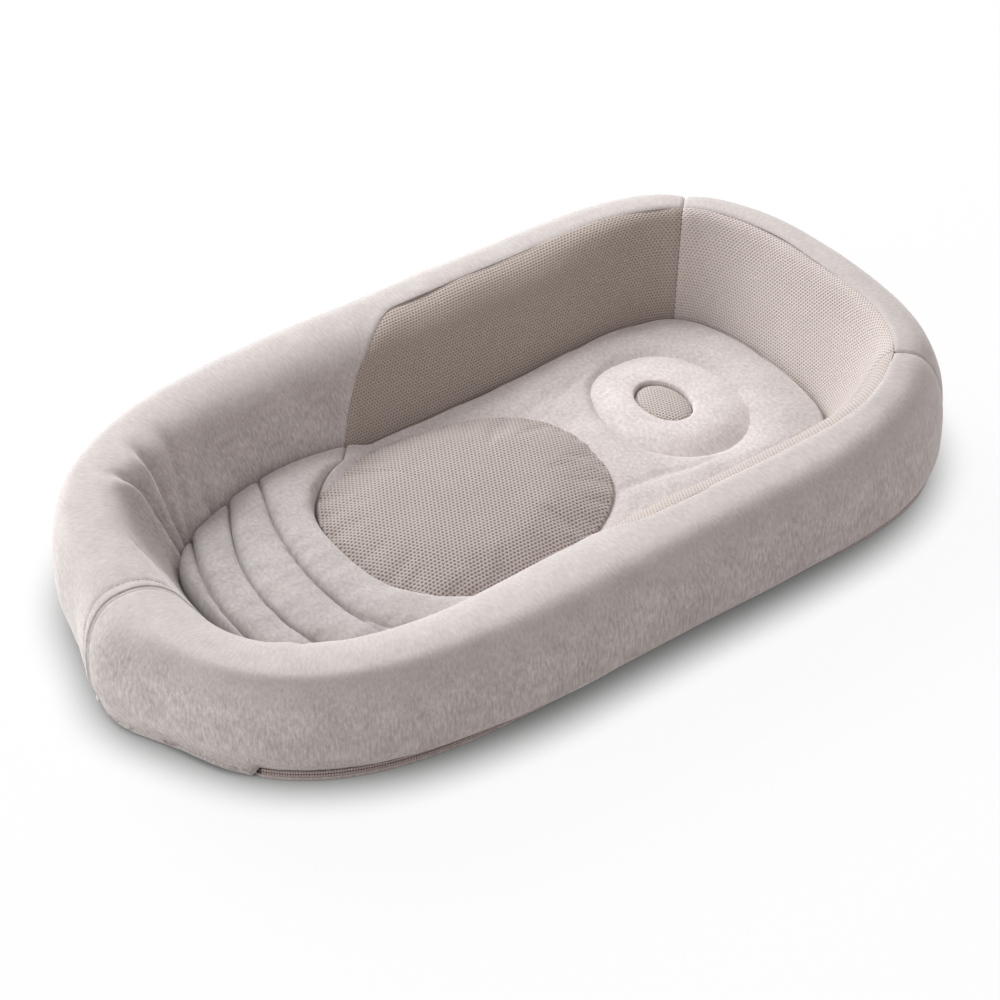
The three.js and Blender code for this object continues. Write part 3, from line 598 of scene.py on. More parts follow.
def air_mesh_material(name, yarn, hole_shade, pitch=3.3):
    """Knitted spacer mesh: staggered round holes in a matt face, with painted shade behind them."""
    material, tree = new_material(name)
    cloth = cloth_place(tree)
    waves = 4 * pi / (sqrt(3) * pitch * MM)
    total = math_node(tree, "MULTIPLY", scaled_noise(tree, cloth, (30, 30, 30), 1.0), 0.25)
    for angle in (90, 30, -30):
        way = (waves * cos(radians(angle)), waves * sin(radians(angle)), 0)
        along = add_node(tree, "VectorMath", {0: cloth, 1: way}, operation="DOT_PRODUCT")
        total = math_node(tree, "ADD", total, math_node(tree, "COSINE", along.outputs["Value"]))
    fibres = scaled_noise(tree, cloth, (0.8, 0.8, 0.8), 2.0)
    shade = math_node(tree, "ADD", math_node(tree, "MULTIPLY", fibres, 0.5), total)
    colour = two_tone(tree, shade, 0.7, 2.1, yarn, hole_shade)
    knit = relief_node(tree, 0.45, 0.5, math_node(tree, "MULTIPLY", total, -1.0))
    surface(tree, Base_Color=colour, Roughness=0.8, Sheen_Weight=0.25, Sheen_Roughness=0.4, Normal=knit)
    return material


def woven_material(name, dark, light, thread, roughness):
    """Plain weave, drawn coarser than it is so that its threads show."""
    material, tree = new_material(name)
    cloth = cloth_place(tree)
    turns = 2 * pi / (thread * MM)
    across, along, _ = add_node(tree, "SeparateXYZ", {0: cloth}).outputs
    steps = (math_node(tree, "MULTIPLY", part, turns) for part in (across, along))
    warp, weft = (math_node(tree, "SINE", step) for step in steps)
    weave = math_node(tree, "MULTIPLY", warp, weft)
    flecks = scaled_noise(tree, cloth, (6, 1.5, 1), 3.0)
    tone = math_node(tree, "ADD", math_node(tree, "MULTIPLY", weave, 0.12), flecks)
    colour = two_tone(tree, tone, 0.3, 0.7, dark, light)
    relief = relief_node(tree, 0.4, 0.3, weave)
    surface(tree, Base_Color=colour, Roughness=roughness, Sheen_Weight=0.12, Normal=relief)
    return material


def solid_material(name, dark, light, grain, roughness, metallic=0.0, depth=0.05):
    """Moulded, cast or fibrous stuff with a fine uneven grain."""
    material, tree = new_material(name)
    specks = scaled_noise(tree, object_place(tree), (grain, grain, grain), 3.0)
    colour = two_tone(tree, specks, 0.3, 0.7, dark, light)
    relief = relief_node(tree, 0.4, depth, specks)
    surface(tree, Base_Color=colour, Roughness=roughness, Metallic=metallic, Normal=relief)
    return material


RIM_PILE = ("aaa4a1", "d0ccc9", (2.4, 7.0, 1.0), (0.08, 0.112, 0.45))
INSERT_PILE = ("b7b2b0", "d3cecc", (3.2, 4.6, 1.0), (0.0, 0.1, 0.8))
rim_velour = velour_material("rim_velour", *RIM_PILE, painted_light_ramp=(-0.4, 0.4, 1.0, 1.0))
# The insert's velour is painted darker over the rolls at the foot end: painted shade.
insert_velour = velour_material("insert_velour", *INSERT_PILE, painted_light_ramp=(-0.2, -0.06, 0.8, 1.0))
# The head ring has a copy of the insert's velour that is painted lighter towards the head: painted light.
ring_velour_painted_light = velour_material("ring_velour_painted_light", *INSERT_PILE, painted_light_ramp=(0.0, 0.1, 1.0, 1.14))
# One air mesh round the inner wall, in three copies: the back wall's is darker, painted shade; the head
# wall's and the front wall's are lighter, painted light, the front one also with paler holes.
shaded_wall_mesh = air_mesh_material("wall_air_mesh_painted_shade", "b1a79f", "8a7e75")
lit_head_wall_mesh = air_mesh_material("head_wall_air_mesh_painted_light", "d0c8c4", "a89d96")
lit_front_wall_mesh = air_mesh_material("front_wall_air_mesh_painted_light", "c4bcb7", "9e938c")
eye_mesh = air_mesh_material("eye_air_mesh", "c2bab5", "8d837d")
pad_mesh = air_mesh_material("pad_air_mesh", "b0a7a2", "766d68", 3.9)
base_weave = woven_material("base_cotton", "b5adab", "cdc6c3", 1.6, 0.9)
lining_weave = woven_material("lining_cotton", "d6d0ca", "efebe6", 1.4, 0.9)
tape_weave = woven_material("zip_tape_twill", "857a77", "9f9491", 1.2, 0.85)
nylon = solid_material("zip_nylon", "aea29f", "c2b7b3", 1.5, 0.5)
stop_lacquer = solid_material("dark_stop_lacquer", "453c3a", "5d5350", 0.8, 0.5, 0.6, 0.01)
zinc = solid_material("lacquered_zinc", "8f8883", "b3aca6", 0.8, 0.35, 0.9, 0.01)
fibre_fill = solid_material("fibre_fill", "dedbd6", "f7f6f3", 5, 0.95, depth=1.5)
thread = solid_material("sewing_thread", "b3aba7", "cfc9c5", 0.6, 0.8)
foam = solid_material("cushion_foam", "dcd5b8", "efe9d0", 1.6, 0.95, depth=0.4)


# Rim: three velour panels, the band over the foot seam, and the air-mesh panels on the inner wall
def eased(share, ends=0.6):
    """Even steps that lie closer together at both ends."""
    return share - ends * sin(2 * pi * share) / (2 * pi)


def zip_free(share):
    """1 where the rim has no zip, round the foot end, and 0 along the zip."""
    after, before = (share - (ZIP_END - 1)) * PERIMETER, (ZIP_START - share) * PERIMETER
    return ramp(after, 0, 5) * ramp(before, 0, 5)


def cover_point(share, turn, length, relief):
    """A point of the covers, which reach down below the hem where there is no zip."""
    if length < 0:
        spot = place(share)
        return spot.at(spot.tuck - relief + 1.5 * (length / SKIRT) ** 2, HEM_HEIGHT + length)
    lean = SEAM_LEAN * ramp(turn, 2.05, 3) * bump((share - 0.5) * PERIMETER, 60) / PERIMETER
    return rim_point(share + lean, turn, -relief)


def rim_strip(first, last, lengths_at, relief_at, cells, along=lambda share: share * PERIMETER * MM):
    """A strip of the rim between two shares. lengths_at gives its ends up the section."""
    columns, rows = cells

    def spot(column, row):
        share = mix(first, last, eased(column / columns))
        start, end = lengths_at(share)
        return share, mix(start, end, eased(row / rows))

    def point_at(column, row):
        share, length = spot(column, row)
        turn = turn_at(length)
        return cover_point(share, turn, length, relief_at(share, turn, length))

    def cloth_at(column, row):
        share, length = spot(column, row)
        return along(share), length * MM

    return bent_grid(columns, rows, point_at, cloth_at)


def rim_parts(head_gap, foot_gap):
    """The rim's three parts, as shares, with gaps at the head seams and at the foot."""
    return {
        "back": (HEAD_SEAM + head_gap, 0.5 - foot_gap),
        "front": (0.5 + foot_gap, 1 - HEAD_SEAM - head_gap),
        "head": (1 - HEAD_SEAM + head_gap, 1 + HEAD_SEAM - head_gap),
    }


def velour_lengths(share):
    """Where the velour starts and ends, up the section from the hem."""
    return -SKIRT * zip_free(share), length_at(place(share).mesh_turn) - 0.2


def to_floor(share, length):
    """Where there is no zip the velour falls straight from the bulge to the floor."""
    return SKIRT_FULLNESS * zip_free(share) * bump(length - 3, 14)


def velour_relief(share, turn, length):
    total = rim_relief(share, turn) + to_floor(share, length)
    start, end = velour_lengths(share)
    if place(share).mesh_turn < 4.95:
        total += 0.4 * bump(end - length - 5, 5) - 0.4 * bump(end - length, 1.6)
    inside_band = SEAM_BAND_WIDTH / 2 - abs(share - 0.5) * PERIMETER
    if inside_band > 0:
        total -= 2.8 * ramp(inside_band, 0, 0.7)
    # The hem turns under at the zip
    return total - (1.6 - 1.2 * zip_free(share)) * bump(length - start, 1.5)


def add_cover(side, first, last):
    length = (last - first) * PERIMETER
    cells = round(length / COLUMN_STEP), round(SECTION_LENGTH / ROW_STEP)
    form = rim_strip(first, last, velour_lengths, velour_relief, cells)
    flat = length + SEAM_ALLOWANCE, SECTION_LENGTH + SEAM_ALLOWANCE
    name, rests_on = f"rim_{side}_velour", [f"bolster_{side}"]
    add_sheet(name, form, rim_velour, f"rim_cover_{side}", flat, rests_on, CLOTH)


UNDER_BAND = 1.5 / PERIMETER
EDGE_GAP = 0.12 / PERIMETER
for side, ends in rim_parts(EDGE_GAP, BAND - UNDER_BAND).items():
    add_cover(side, *ends)


def band_relief(share, turn, length):
    across = (share - 0.5) / BAND
    edge = 0.9 * ramp(-across, 0.6, 1) + 1.9 * ramp(across, 0.5, 1)
    return rim_relief(share, turn) + to_floor(share, length) + 0.5 - edge - 2.2 * bump(length + SKIRT, 6)


band = rim_strip(0.5 - BAND, 0.5 + BAND, lambda share: (-SKIRT, SECTION_LENGTH), band_relief, BAND_CELLS)
band_flat = SEAM_BAND_WIDTH + 4, SECTION_LENGTH + 10
add_sheet(
    "foot_seam_velour", band, rim_velour,
    "foot_seam_band", band_flat, ["bolster_front", "bolster_back"], BAND_CLOTH,
)


def add_topstitch():
    """A row of stitches beside the foot seam's band, in a slight furrow of the back cover."""
    bm, _ = new_form()
    share = 0.5 - BAND - TOPSTITCH / PERIMETER
    for start in np.arange(46, SECTION_LENGTH - 20, STITCH_PITCH):
        ends = []
        for length in (start, start + STITCH_LENGTH):
            turn = turn_at(length)
            ends.append(cover_point(share, turn, length, velour_relief(share, turn, length) + THREAD / 3))
        run = ends[1] - ends[0]
        turned = run.to_track_quat("Z", "Y").to_matrix().to_4x4()
        size = Matrix.Diagonal((THREAD * MM, THREAD * MM, run.length / 2, 1))
        placed = Matrix.Translation((ends[0] + ends[1]) / 2) @ turned @ size
        bmesh.ops.create_icosphere(bm, subdivisions=1, radius=1, matrix=placed)
    add_piece("foot_seam_topstitch", bm, thread, "nest")


add_topstitch()

WALL_SHARES = np.linspace(-0.5, 1.5, 1441)
WALL_POINTS = np.array([rim_point(float(share), 3.3) for share in WALL_SHARES])
WALL_LENGTHS = running_lengths(WALL_POINTS)


def along_wall(share):
    """Length along the inner wall, where the mesh's holes stay the same size."""
    return float(np.interp(share, WALL_SHARES, WALL_LENGTHS))


def mesh_lengths(share):
    start = length_at(place(share).mesh_turn) - 1
    return min(start, SECTION_LENGTH - 0.5), SECTION_LENGTH


def add_mesh_wall(side, first, last, material=shaded_wall_mesh):
    def relief_at(share, turn, length):
        inside = length - length_at(place(share).mesh_turn)
        relief = -0.3 * bump(inside, 2.5) + 0.5 * bump(inside - 12, 9) - 0.2
        relief += slack(rim_point(share, turn), 60, 1.6, 6.2)
        for seam in (first, last):
            relief -= 1.2 * bump((share - seam) * PERIMETER * 0.6, 3.5)
        return relief

    length = (last - first) * PERIMETER
    cells = round(length * 0.7 / COLUMN_STEP), WALL_ROWS
    form = rim_strip(first, last, mesh_lengths, relief_at, cells, along_wall)
    name, rests_on = f"wall_{side}_mesh", [f"bolster_{side}"]
    add_sheet(name, form, material, f"mesh_wall_{side}", (length, MESH_CUT), rests_on, CLOTH)


# The back wall takes the darker copy, with painted shade; the front and head walls take the lighter ones,
# with painted light.
add_mesh_wall("back", HEAD_SEAM + JOIN, MESH_START)
add_mesh_wall("front", 1 - MESH_START, 1 - HEAD_SEAM - JOIN, lit_front_wall_mesh)
add_mesh_wall("head", 1 - HEAD_SEAM + JOIN, 1 + HEAD_SEAM - JOIN, lit_head_wall_mesh)


# Bolsters inside the covers: round tubes of fibre filling, flat underneath
BOLSTER_DEPTH = 3.3
BOLSTER_FOOT = ((12, FLOOR_HEIGHT), (9, 13))


def add_bolster(side, first, last, count):
    turns = [turn_at(length) for length in np.linspace(length_at(0.4), SECTION_LENGTH, BOLSTER_ROWS)]
    sections = []
    for column in range(count + 1):
        share = mix(first, last, min(max((column - 1) / (count - 2), 0), 1))
        spot = place(share)
        points = [rim_point(share, turn, BOLSTER_DEPTH) for turn in turns]
        points += [spot.at(spot.tuck + inset, height) for inset, height in BOLSTER_FOOT]
        if column in (0, count):
            points = [sum(points, Vector((0, 0, 0))) / len(points)] * len(points)
        sections.append(points)
    around = len(sections[0])
    bm = face_out(bent_grid(count, around, lambda column, row: sections[column][row % around]))
    piece = add_piece(f"{side}_bolster_filling", bm, fibre_fill, "nest", (f"bolster_{side}",))


for side, ends in rim_parts(JOIN, JOIN).items():
    add_bolster(side, *ends, 80 if side == "head" else 120)


# Floor of the nest: the base with its turned-up hem, the foam sheet and the lining
def floor_rings(rings):
    """A form through rings of (inset function, height), or of (None, height) in the middle."""

    def point_at(column, row):
        inset_at, height = rings[row]
        spot = place(column / FLOOR_COLUMNS)
        return spot.at(inset_at(spot), height) if inset_at else Vector((0, 0, height * MM))

    return bent_grid(FLOOR_COLUMNS, len(rings) - 1, point_at)


def from_hem(inset):
    """An inset from the base's hem, which lies under the velour where there is no zip."""
    return lambda spot: spot.tuck + inset + 6 * zip_free(spot.share)


hem_rings = [(None, 0), (from_hem(40), 0), (from_hem(1.5), 0), (from_hem(0.3), 0.3), (from_hem(0), 1.2)]
hem_rings += [(from_hem(0), 3.2), (from_hem(0.4), 3.7), (from_hem(1.2), 3.8)]
base = floor_rings(hem_rings)
add_sheet("base_cloth", base, base_weave, "base_fabric", BASE_CUT, ["stage"], BASE_CLOTH)


def tucked(inset):
    return lambda spot: spot.tuck + inset


foam_rings = [(None, 1.5), (tucked(36), 1.5), (tucked(7.5), 1.5), (tucked(6), 3.6)]
foam_rings += [(tucked(6), 5.4), (tucked(7.5), 7.5), (tucked(36), 7.5), (None, 7.5)]
foam_sheet = face_out(floor_rings(foam_rings))
foam_sheet = add_piece("base_foam_sheet", foam_sheet, foam, "nest", ("base_pad",))

lining = floor_rings([(None, 8.7), (lambda spot: spot.wall + 40, 8.7), (lambda spot: spot.wall + 0.5, 8.7)])
add_sheet(
    "floor_lining_cloth", lining, lining_weave,
    "floor_lining", INSERT_CUT, ["base_pad"], LINING_CLOTH,
)


# Zip: nylon teeth on two twill tapes, stops at the ends, and the slider with its pull
def band_point(share, depth, height):
    spot = place(share)
    return spot.at(spot.tuck + depth, height)


def add_tape(side, sign):
    near = ZIP_MIDDLE + sign * ZIP_MIDDLE_GAP / 2
    length = (ZIP_END - ZIP_START) * PERIMETER
    columns, rows = TAPE_CELLS

    def point_at(column, row):
        share = mix(ZIP_START, ZIP_END, column / columns)
        return band_point(share, TAPE_DEPTH, near + sign * TAPE_WIDTH * row / rows)

    def cloth_at(column, row):
        return column / columns * length * MM, row / rows * TAPE_WIDTH * MM

    name, replaced = f"zip_{side}_tape", f"zip_tape_{side}"
    form = bent_grid(columns, rows, point_at, cloth_at, flip=sign < 0)
    flat, rests_on = (length, 2 * TAPE_WIDTH), ["base_cloth"]
    add_sheet(name, form, tape_weave, replaced, flat, rests_on, TAPE_THICKNESS)


def small_block(bm, share, depth, height, size, turn=0):
    """A block on the hem's face: its size is along the hem, into it and upwards."""
    spot = place(share)
    inward = spot.inward.to_3d()
    along = Vector((inward.y, -inward.x, 0))
    frame_at = Matrix((along, inward, Vector((0, 0, 1)))).transposed().to_4x4()
    middle = Matrix.Translation(band_point(share, depth, height))
    turned = Matrix.Rotation(turn, 4, "Y")
    scale = Matrix.Diagonal((*(value * MM for value in size), 1))
    bmesh.ops.create_cube(bm, size=1, matrix=middle @ frame_at @ turned @ scale)


def round_edges(bm, reach, segments):
    bmesh.ops.bevel(
        bm, geom=bm.edges[:], offset=reach * MM, segments=segments, profile=0.5, affect="EDGES", material=-1
    )


def add_teeth(side, sign):
    bm, _ = new_form()
    margin = TOOTH_MARGIN / PERIMETER
    first, last = ZIP_START + margin, ZIP_END - margin
    count = round((last - first) * PERIMETER / TOOTH_PITCH)
    height = ZIP_MIDDLE + sign * (ZIP_MIDDLE_GAP + ZIP_ROW_HEIGHT) / 2
    for number in range(count):
        share = mix(first, last, (number + 0.5) / count)
        size = (TOOTH_PITCH * TOOTH_FILL, TOOTH_DEPTH, ZIP_ROW_HEIGHT)
        small_block(bm, share, 0.05 + TOOTH_DEPTH / 2, height, size, sign * TOOTH_TILT)
    round_edges(bm, 0.3, 1)
    add_piece(f"zip_{side}_coil", bm, nylon, "nest", (f"zip_teeth_{side}",), smooth=False)


def add_stop(name, start):
    bm, _ = new_form()
    size = (STOP_LENGTH, STOP_DEPTH, 2 * ZIP_ROW_HEIGHT + ZIP_MIDDLE_GAP)
    small_block(bm, start + STOP_LENGTH / 2 / PERIMETER, 1.6, ZIP_MIDDLE, size)
    round_edges(bm, 0.5, 3)
    add_piece(f"zip_{name}_stop", bm, stop_lacquer, "nest", (f"zip_stop_{name}",))


for side, sign in (("upper", 1), ("lower", -1)):
    add_tape(side, sign)
    add_teeth(side, sign)
add_stop("start", ZIP_START)
add_stop("end", ZIP_END - STOP_LENGTH / PERIMETER)
for node in ("zip_slider", "zip_pull"):
    for holder in bpy.data.objects[node].material_slots:
        holder.material = zinc


# Insert: the velour top with its sewn channels and its linings
def insert_point(share):
    spot = place(share)
    return spot.point + spot.inward * (spot.wall + INSERT_FIT)


INSERT_EDGE = np.array([insert_point(i / 720) for i in range(720)])
INSERT_NEXT = np.roll(INSERT_EDGE, -1, axis=0)
INSERT_FOOT_X = insert_point(0.5).x
INSERT_HEAD_X = insert_point(0).x
INSERT_HALF_WIDTH = HALF_WIDTH - WALL_INSET[-1] - INSERT_FIT


def edge_distance(x, y):
    run = INSERT_NEXT - INSERT_EDGE
    to_point = np.array([x, y]) - INSERT_EDGE
    share = np.clip((to_point * run).sum(axis=1) / (run**2).sum(axis=1), 0, 1)
    return float(np.linalg.norm(to_point - run * share[:, None], axis=1).min())


def edge_rounding(x, y, reach, power=2):
    """0 at the insert's edge, 1 from this reach on, and rounded between them."""
    return dome(1 - min(edge_distance(x, y) / reach, 1), power)


def level_at(y):
    return INSERT_TOP + INSERT_CROWN * (1 - (y / INSERT_HALF_WIDTH) ** 2)


def outside_oval(x, y, middle, half_length, half_width):
    """How far a place lies outside an oval round (middle, 0), as a share of its reach."""
    return hypot((x - middle) / half_length, y / half_width) - 1


SEAMS = [INSERT_FOOT_X + FIRST_ROLL]
for width in ROLL_WIDTHS:
    SEAMS.append(SEAMS[-1] + width)
RING_X = INSERT_HEAD_X - RING_TO_HEAD_END
PAD_FOOT_X = SEAMS[3] + PAD_SEAM_CLEARANCE
PAD_HEAD_X = RING_X - RING_HALF_LENGTH - PAD_TO_RING
PAD_X = (PAD_FOOT_X + PAD_HEAD_X) / 2


def pad_outline(angle):
    reach = sum(value * cos(k * angle) for k, value in enumerate(KIDNEY_SHARES))
    half_length, half_width = (PAD_HEAD_X - PAD_FOOT_X) / 2, INSERT_HALF_WIDTH - PAD_SIDE_MARGIN
    y = half_width * reach * sin(angle)
    return Vector((half_length * reach * cos(angle), y if y > 0 else y * PAD_FRONT))


class BowedRow:
    """A row across the insert that bows towards the foot."""

    def __init__(self, x, bow=0):
        self.x, self.bow = x, bow

        def is_headwards(share):
            edge = insert_point(share)
            return self.x_at(edge.y) < edge.x

        self.end = sum(bisect(0, 0.5, is_headwards)) / 2
        self.half_span = insert_point(self.end).y

    def x_at(self, y):
        return self.x + ((y - BOW_MIDDLE) ** 2 / (2 * self.bow) if self.bow else 0)

    def at(self, across):
        y = across * self.half_span
        return Vector((self.x_at(y), y))


PAD_EDGE = [pad_outline(pi - angle) for angle in np.linspace(0, pi / 2, 60)]
PAD_EDGE_X, PAD_EDGE_Y = zip(*PAD_EDGE)
LEAVE_Y = float(np.interp(PAD_LEAVE, PAD_EDGE_X, PAD_EDGE_Y))


class PadRow(BowedRow):
    """The last channel seam: it follows the seat pad's outline, then leaves it for the wall."""

    def x_at(self, y):
        y = y if y > 0 else y / PAD_FRONT
        along_pad = float(np.interp(abs(y), PAD_EDGE_Y, PAD_EDGE_X))
        if along_pad < PAD_LEAVE:
            return self.x + along_pad
        return self.x + PAD_LEAVE + LEAVE_SLOPE * (abs(y) - LEAVE_Y)


class EdgeRow:
    """A row that follows the insert's edge, to both sides of its middle."""

    def __init__(self, middle, end):
        self.middle, self.end = middle, end

    def at(self, across):
        return insert_point(mix(self.middle, self.end, across))


channel_rows = [BowedRow(x, bow) for x, bow in zip(SEAMS, CHANNEL_BOWS)] + [PadRow(PAD_X - 1.5)]
straight_rows = [BowedRow(mix(SEAMS[3], RING_X, share)) for share in (0.35, 0.85)]
foot_row = EdgeRow(0.5, mix(channel_rows[0].end, 0.5, 0.35))
head_row = EdgeRow(0, mix(0, straight_rows[1].end, 0.6))
ROWS = [foot_row, *channel_rows, *straight_rows, head_row]


def row_point(row, share, across):
    lower, upper = ROWS[row], ROWS[row + 1]
    side = -1 if across < 0 else 1
    on_edge = insert_point(mix(lower.end, upper.end, share))
    point, blended = (lower.at(y).lerp(upper.at(y), share) for y in (across, side))
    pull = abs(across) ** 6
    x, y = point.x + (on_edge.x - blended.x) * pull, point.y + (side * on_edge.y - blended.y) * pull
    return Vector((x, y))


ROW_PLACES = [(0, 0.0)]
for row, cells in enumerate(ROW_CELLS):
    ends = 0.7 if row < len(ROLL_HEIGHTS) else 0.4
    ROW_PLACES += [(row, eased((step + 1) / cells, ends)) for step in range(cells)]


def across_at(column):
    """From -1 to 1 across the insert, with closer columns at the sides."""
    return sin((column / ACROSS_CELLS * 2 - 1) * ACROSS_TURN) / sin(ACROSS_TURN)


def roll_height(part, share, y):
    """Above the plain top: flat-backed rolls between raised seams, and a swell at the wall."""
    at_wall = ramp(abs(y), 50, 122)
    slump = 1 - 0.5 * ramp(abs(y), 100, 130)
    if part < len(ROLL_HEIGHTS):
        seam_level = mix(SEAM_LEVELS[part], SEAM_LEVELS[part + 1], share)
        back = (1 - abs(2 * share - 1) ** 4.2) ** (1 / 2.2) * (1 - 0.55 * ramp(abs(y), 78, 124))
        wall_level = at_wall * mix(*ROLL_WALL_LEVELS[part], share)
        if part == 3:
            seam_level *= mix(1, slump, share)
        return seam_level + wall_level + (ROLL_HEIGHTS[part] - seam_level) * back
    if part == len(ROLL_HEIGHTS):
        return (8 * slump + 4 * at_wall) * (1 - ramp(share, 0, 0.75)) * ramp(y, 60, 110)
    return 0


def insert_grid(height_at, flip=False):
    def point_at(column, row):
        part, share = ROW_PLACES[row]
        across = across_at(column)
        point = row_point(part, share, across)
        height = height_at(part, share, *point)
        # Above the mattress line the wall leans outwards, and the insert follows it
        at_wall = abs(across) ** 10 * ramp(edge_distance(*point), 0, 2)
        lean = WALL_SLOPE * max(height - MATTRESS_LINE, 0) * at_wall
        return Vector((point.x, point.y + copysign(lean, across), height)) * MM

    def cloth_at(column, row):
        """Round the edge the cloth runs on outwards, by as much as it comes down."""
        point = point_at(column, row)
        outwards = Vector((point.x / INSERT_HEAD_X**2, point.y / INSERT_HALF_WIDTH**2)).normalized()
        return point.xy + outwards * abs(INSERT_TOP * MM - point.z) * abs(across_at(column)) ** 12

    return bent_grid(ACROSS_CELLS, len(ROW_PLACES) - 1, point_at, cloth_at, flip=flip)


def seam_groove(x, y):
    """The channel seams draw the cloth down, the pad's seam only in its middle."""
    total = 0
    for row in channel_rows:
        slope = (row.x_at(y + 1) - row.x_at(y - 1)) / 2
        away = abs(x - row.x_at(y)) / hypot(1, slope)
        depth = 1 - 0.8 * ramp(abs(y), 70, 115) if row is channel_rows[-1] else 1
        total += depth * (3.2 * bump(away, 1.3) + 1.0 * bump(away, 4))
    return total


def ring_surround(x, y):
    """The insert's top swells round the head ring, up to the seam that sews it down."""
    from_ring = outside_oval(x, y, RING_X, RING_HALF_LENGTH, RING_HALF_WIDTH)
    if from_ring < -0.1:
        return 0
    return 6.5 * ramp(from_ring, -0.03, 0.12) * (1 - ramp(from_ring, 0.25, 1.1))


def top_height(part, share, x, y):
    roll = roll_height(part, share, y)
    point = Vector((x, y, 0)) * MM
    soft = slack(point, 46, 1.3, 2.2) + slack(point, 18, 0.35, 7.7)
    ruck = 1.2 * noise.noise(Vector((x / 34, y / 9, 4.4))) if part < len(ROLL_HEIGHTS) else 0
    full = level_at(y) + roll + soft + ruck + ring_surround(x, y) - seam_groove(x, y)
    return mix(INSERT_SEAM + 0.3, full, edge_rounding(x, y, TOP_ROUND, 2.6))


def underside(seam, level):
    """The height of an underside at this level, rounded up to the edge seam."""
    return lambda part, share, x, y: mix(seam, level, edge_rounding(x, y, INSERT_ROUND))


def join_forms(first, second):
    """Sews two open forms that share their border into one closed form."""
    mesh = bpy.data.meshes.new("half")
    second.to_mesh(mesh)
    second.free()
    first.from_mesh(mesh)
    bpy.data.meshes.remove(mesh)
    bmesh.ops.remove_doubles(first, verts=first.verts, dist=0.01 * MM)
    return face_out(first)


insert_bottom = insert_grid(underside(INSERT_SEAM + 0.3, INSERT_UNDERSIDE), flip=True)
cushion = join_forms(insert_grid(top_height), insert_bottom)
inside = ("insert_cover", "insert_foam", *(f"foot_roll_{number}" for number in (1, 2, 3, 4)))
cushion = add_piece("insert_velour", cushion, insert_velour, "insert", inside)


def insert_held(point):
    """The insert is held at its seams, under the pads and underneath."""
    if point.z < INSERT_SEAM + 2:
        return 1
    from_seams = min(abs(point.x - row.x_at(point.y)) for row in channel_rows)
    from_ring = outside_oval(point.x, point.y, RING_X, RING_HALF_LENGTH, RING_HALF_WIDTH)
    from_pad = outside_oval(point.x, point.y, PAD_X, PAD_HEAD_X - PAD_X, PAD_EDGE_Y[-1])
    return max(1 - from_seams / 3, 1 - max(from_ring, 0) / 0.05, 1 - max(from_pad, 0) / 0.05, 0)


inflate(cushion, insert_held, 3, 3)

under = insert_grid(underside(INSERT_SEAM, LINING_UNDERSIDE), flip=True)
add_sheet(
    "insert_lining", under, lining_weave,
    "insert_underside", INSERT_CUT, ["floor_lining"], UNDER_CLOTH, "insert",
)


# Pads on the insert
def ring_outline(angle):
    x, y = (copysign(abs(value) ** (2 / RING_SQUARENESS), value) for value in (cos(angle), sin(angle)))
    return Vector((RING_HALF_LENGTH * x, RING_HALF_WIDTH * y))


def eye_outline(angle):
    return Vector((EYE_HALF_LENGTH * cos(angle) - EYE_OFFSET, EYE_HALF_WIDTH * sin(angle)))


def pad_form(middle_x, inner, outer, rings):
    """A closed pad between two outlines, through rings of (share of the way out, height)."""
    loop = rings if inner is None else [*rings, rings[0]]

    def point_at(column, row):
        angle = column / PAD_COLUMNS * 2 * pi
        share, height = loop[row]
        start = inner(angle) if inner else Vector((0, 0))
        flat = start.lerp(outer(angle), share)
        point = Vector((middle_x + flat.x, flat.y, 0)) * MM
        unevenness = (slack(point, 40, 0.8, 5.5) + slack(point, 16, 0.25, 1.9)) if height > 3 else 0
        return Vector((middle_x + flat.x, flat.y, level_at(flat.y) + height + unevenness)) * MM

    return face_out(bent_grid(PAD_COLUMNS, len(loop) - 1, point_at))


pad_rings = [(share, PAD_BOTTOM) for share in (0, 0.4, 0.8, 0.97)]
for step in range(PAD_STEPS, -1, -1):
    share = sin(step / PAD_STEPS * pi / 2)
    edge = 2 * ramp(step, PAD_STEPS, PAD_STEPS - 1.5)
    pad_rings.append((share, 0.5 + edge + (PAD_HEIGHT - 2) * dome(share, PAD_POWER)))
seat_pad = pad_form(PAD_X, None, pad_outline, pad_rings)
inside = ("seat_pad_mesh", "seat_pad_foam")
seat_pad = add_piece("seat_pad_cushion", seat_pad, pad_mesh, "insert", inside)


def pad_held(point):
    """A pad is sewn down round its edge."""
    return 1 - ramp(point.z - level_at(point.y), 1, 5)


inflate(seat_pad, pad_held, 4, 4)


def ring_height(share):
    """Highest round the mesh in the middle, and rounded off outwards."""
    outer = (1 - ramp(share, 0.1, 1) ** 1.9) ** 0.55
    return 0.6 + RING_HEIGHT * outer * dome(1 - share, 16)


ring_shares = [0.5 + 0.5 * cos(step / PAD_STEPS * pi) for step in range(PAD_STEPS + 1)]
ring_rings = [(share, PAD_BOTTOM) for share in np.linspace(0, 1, 9)]
ring_rings += [(share, ring_height(share)) for share in ring_shares]
head_ring = pad_form(RING_X, eye_outline, ring_outline, ring_rings)
inside = ("head_ring_cover", "head_ring_filling")
head_ring = add_piece("head_ring_velour", head_ring, ring_velour_painted_light, "insert", inside)
inflate(head_ring, pad_held, 2, 2)


def eye_inside(angle):
    point = eye_outline(angle) + Vector((EYE_OFFSET, 0))
    return point * (1 - 0.5 / EYE_HALF_LENGTH)


eye_rings = [(share, PAD_BOTTOM) for share in (0, 0.5, 0.9)]
eye_rings += [(share, 0.5 + EYE_HEIGHT * dome(share, EYE_POWER)) for share in EYE_SHARES]
eye = pad_form(RING_X - EYE_OFFSET, None, eye_inside, eye_rings)
eye = add_piece("head_eye_mesh", eye, eye_mesh, "insert", ("head_mesh",))


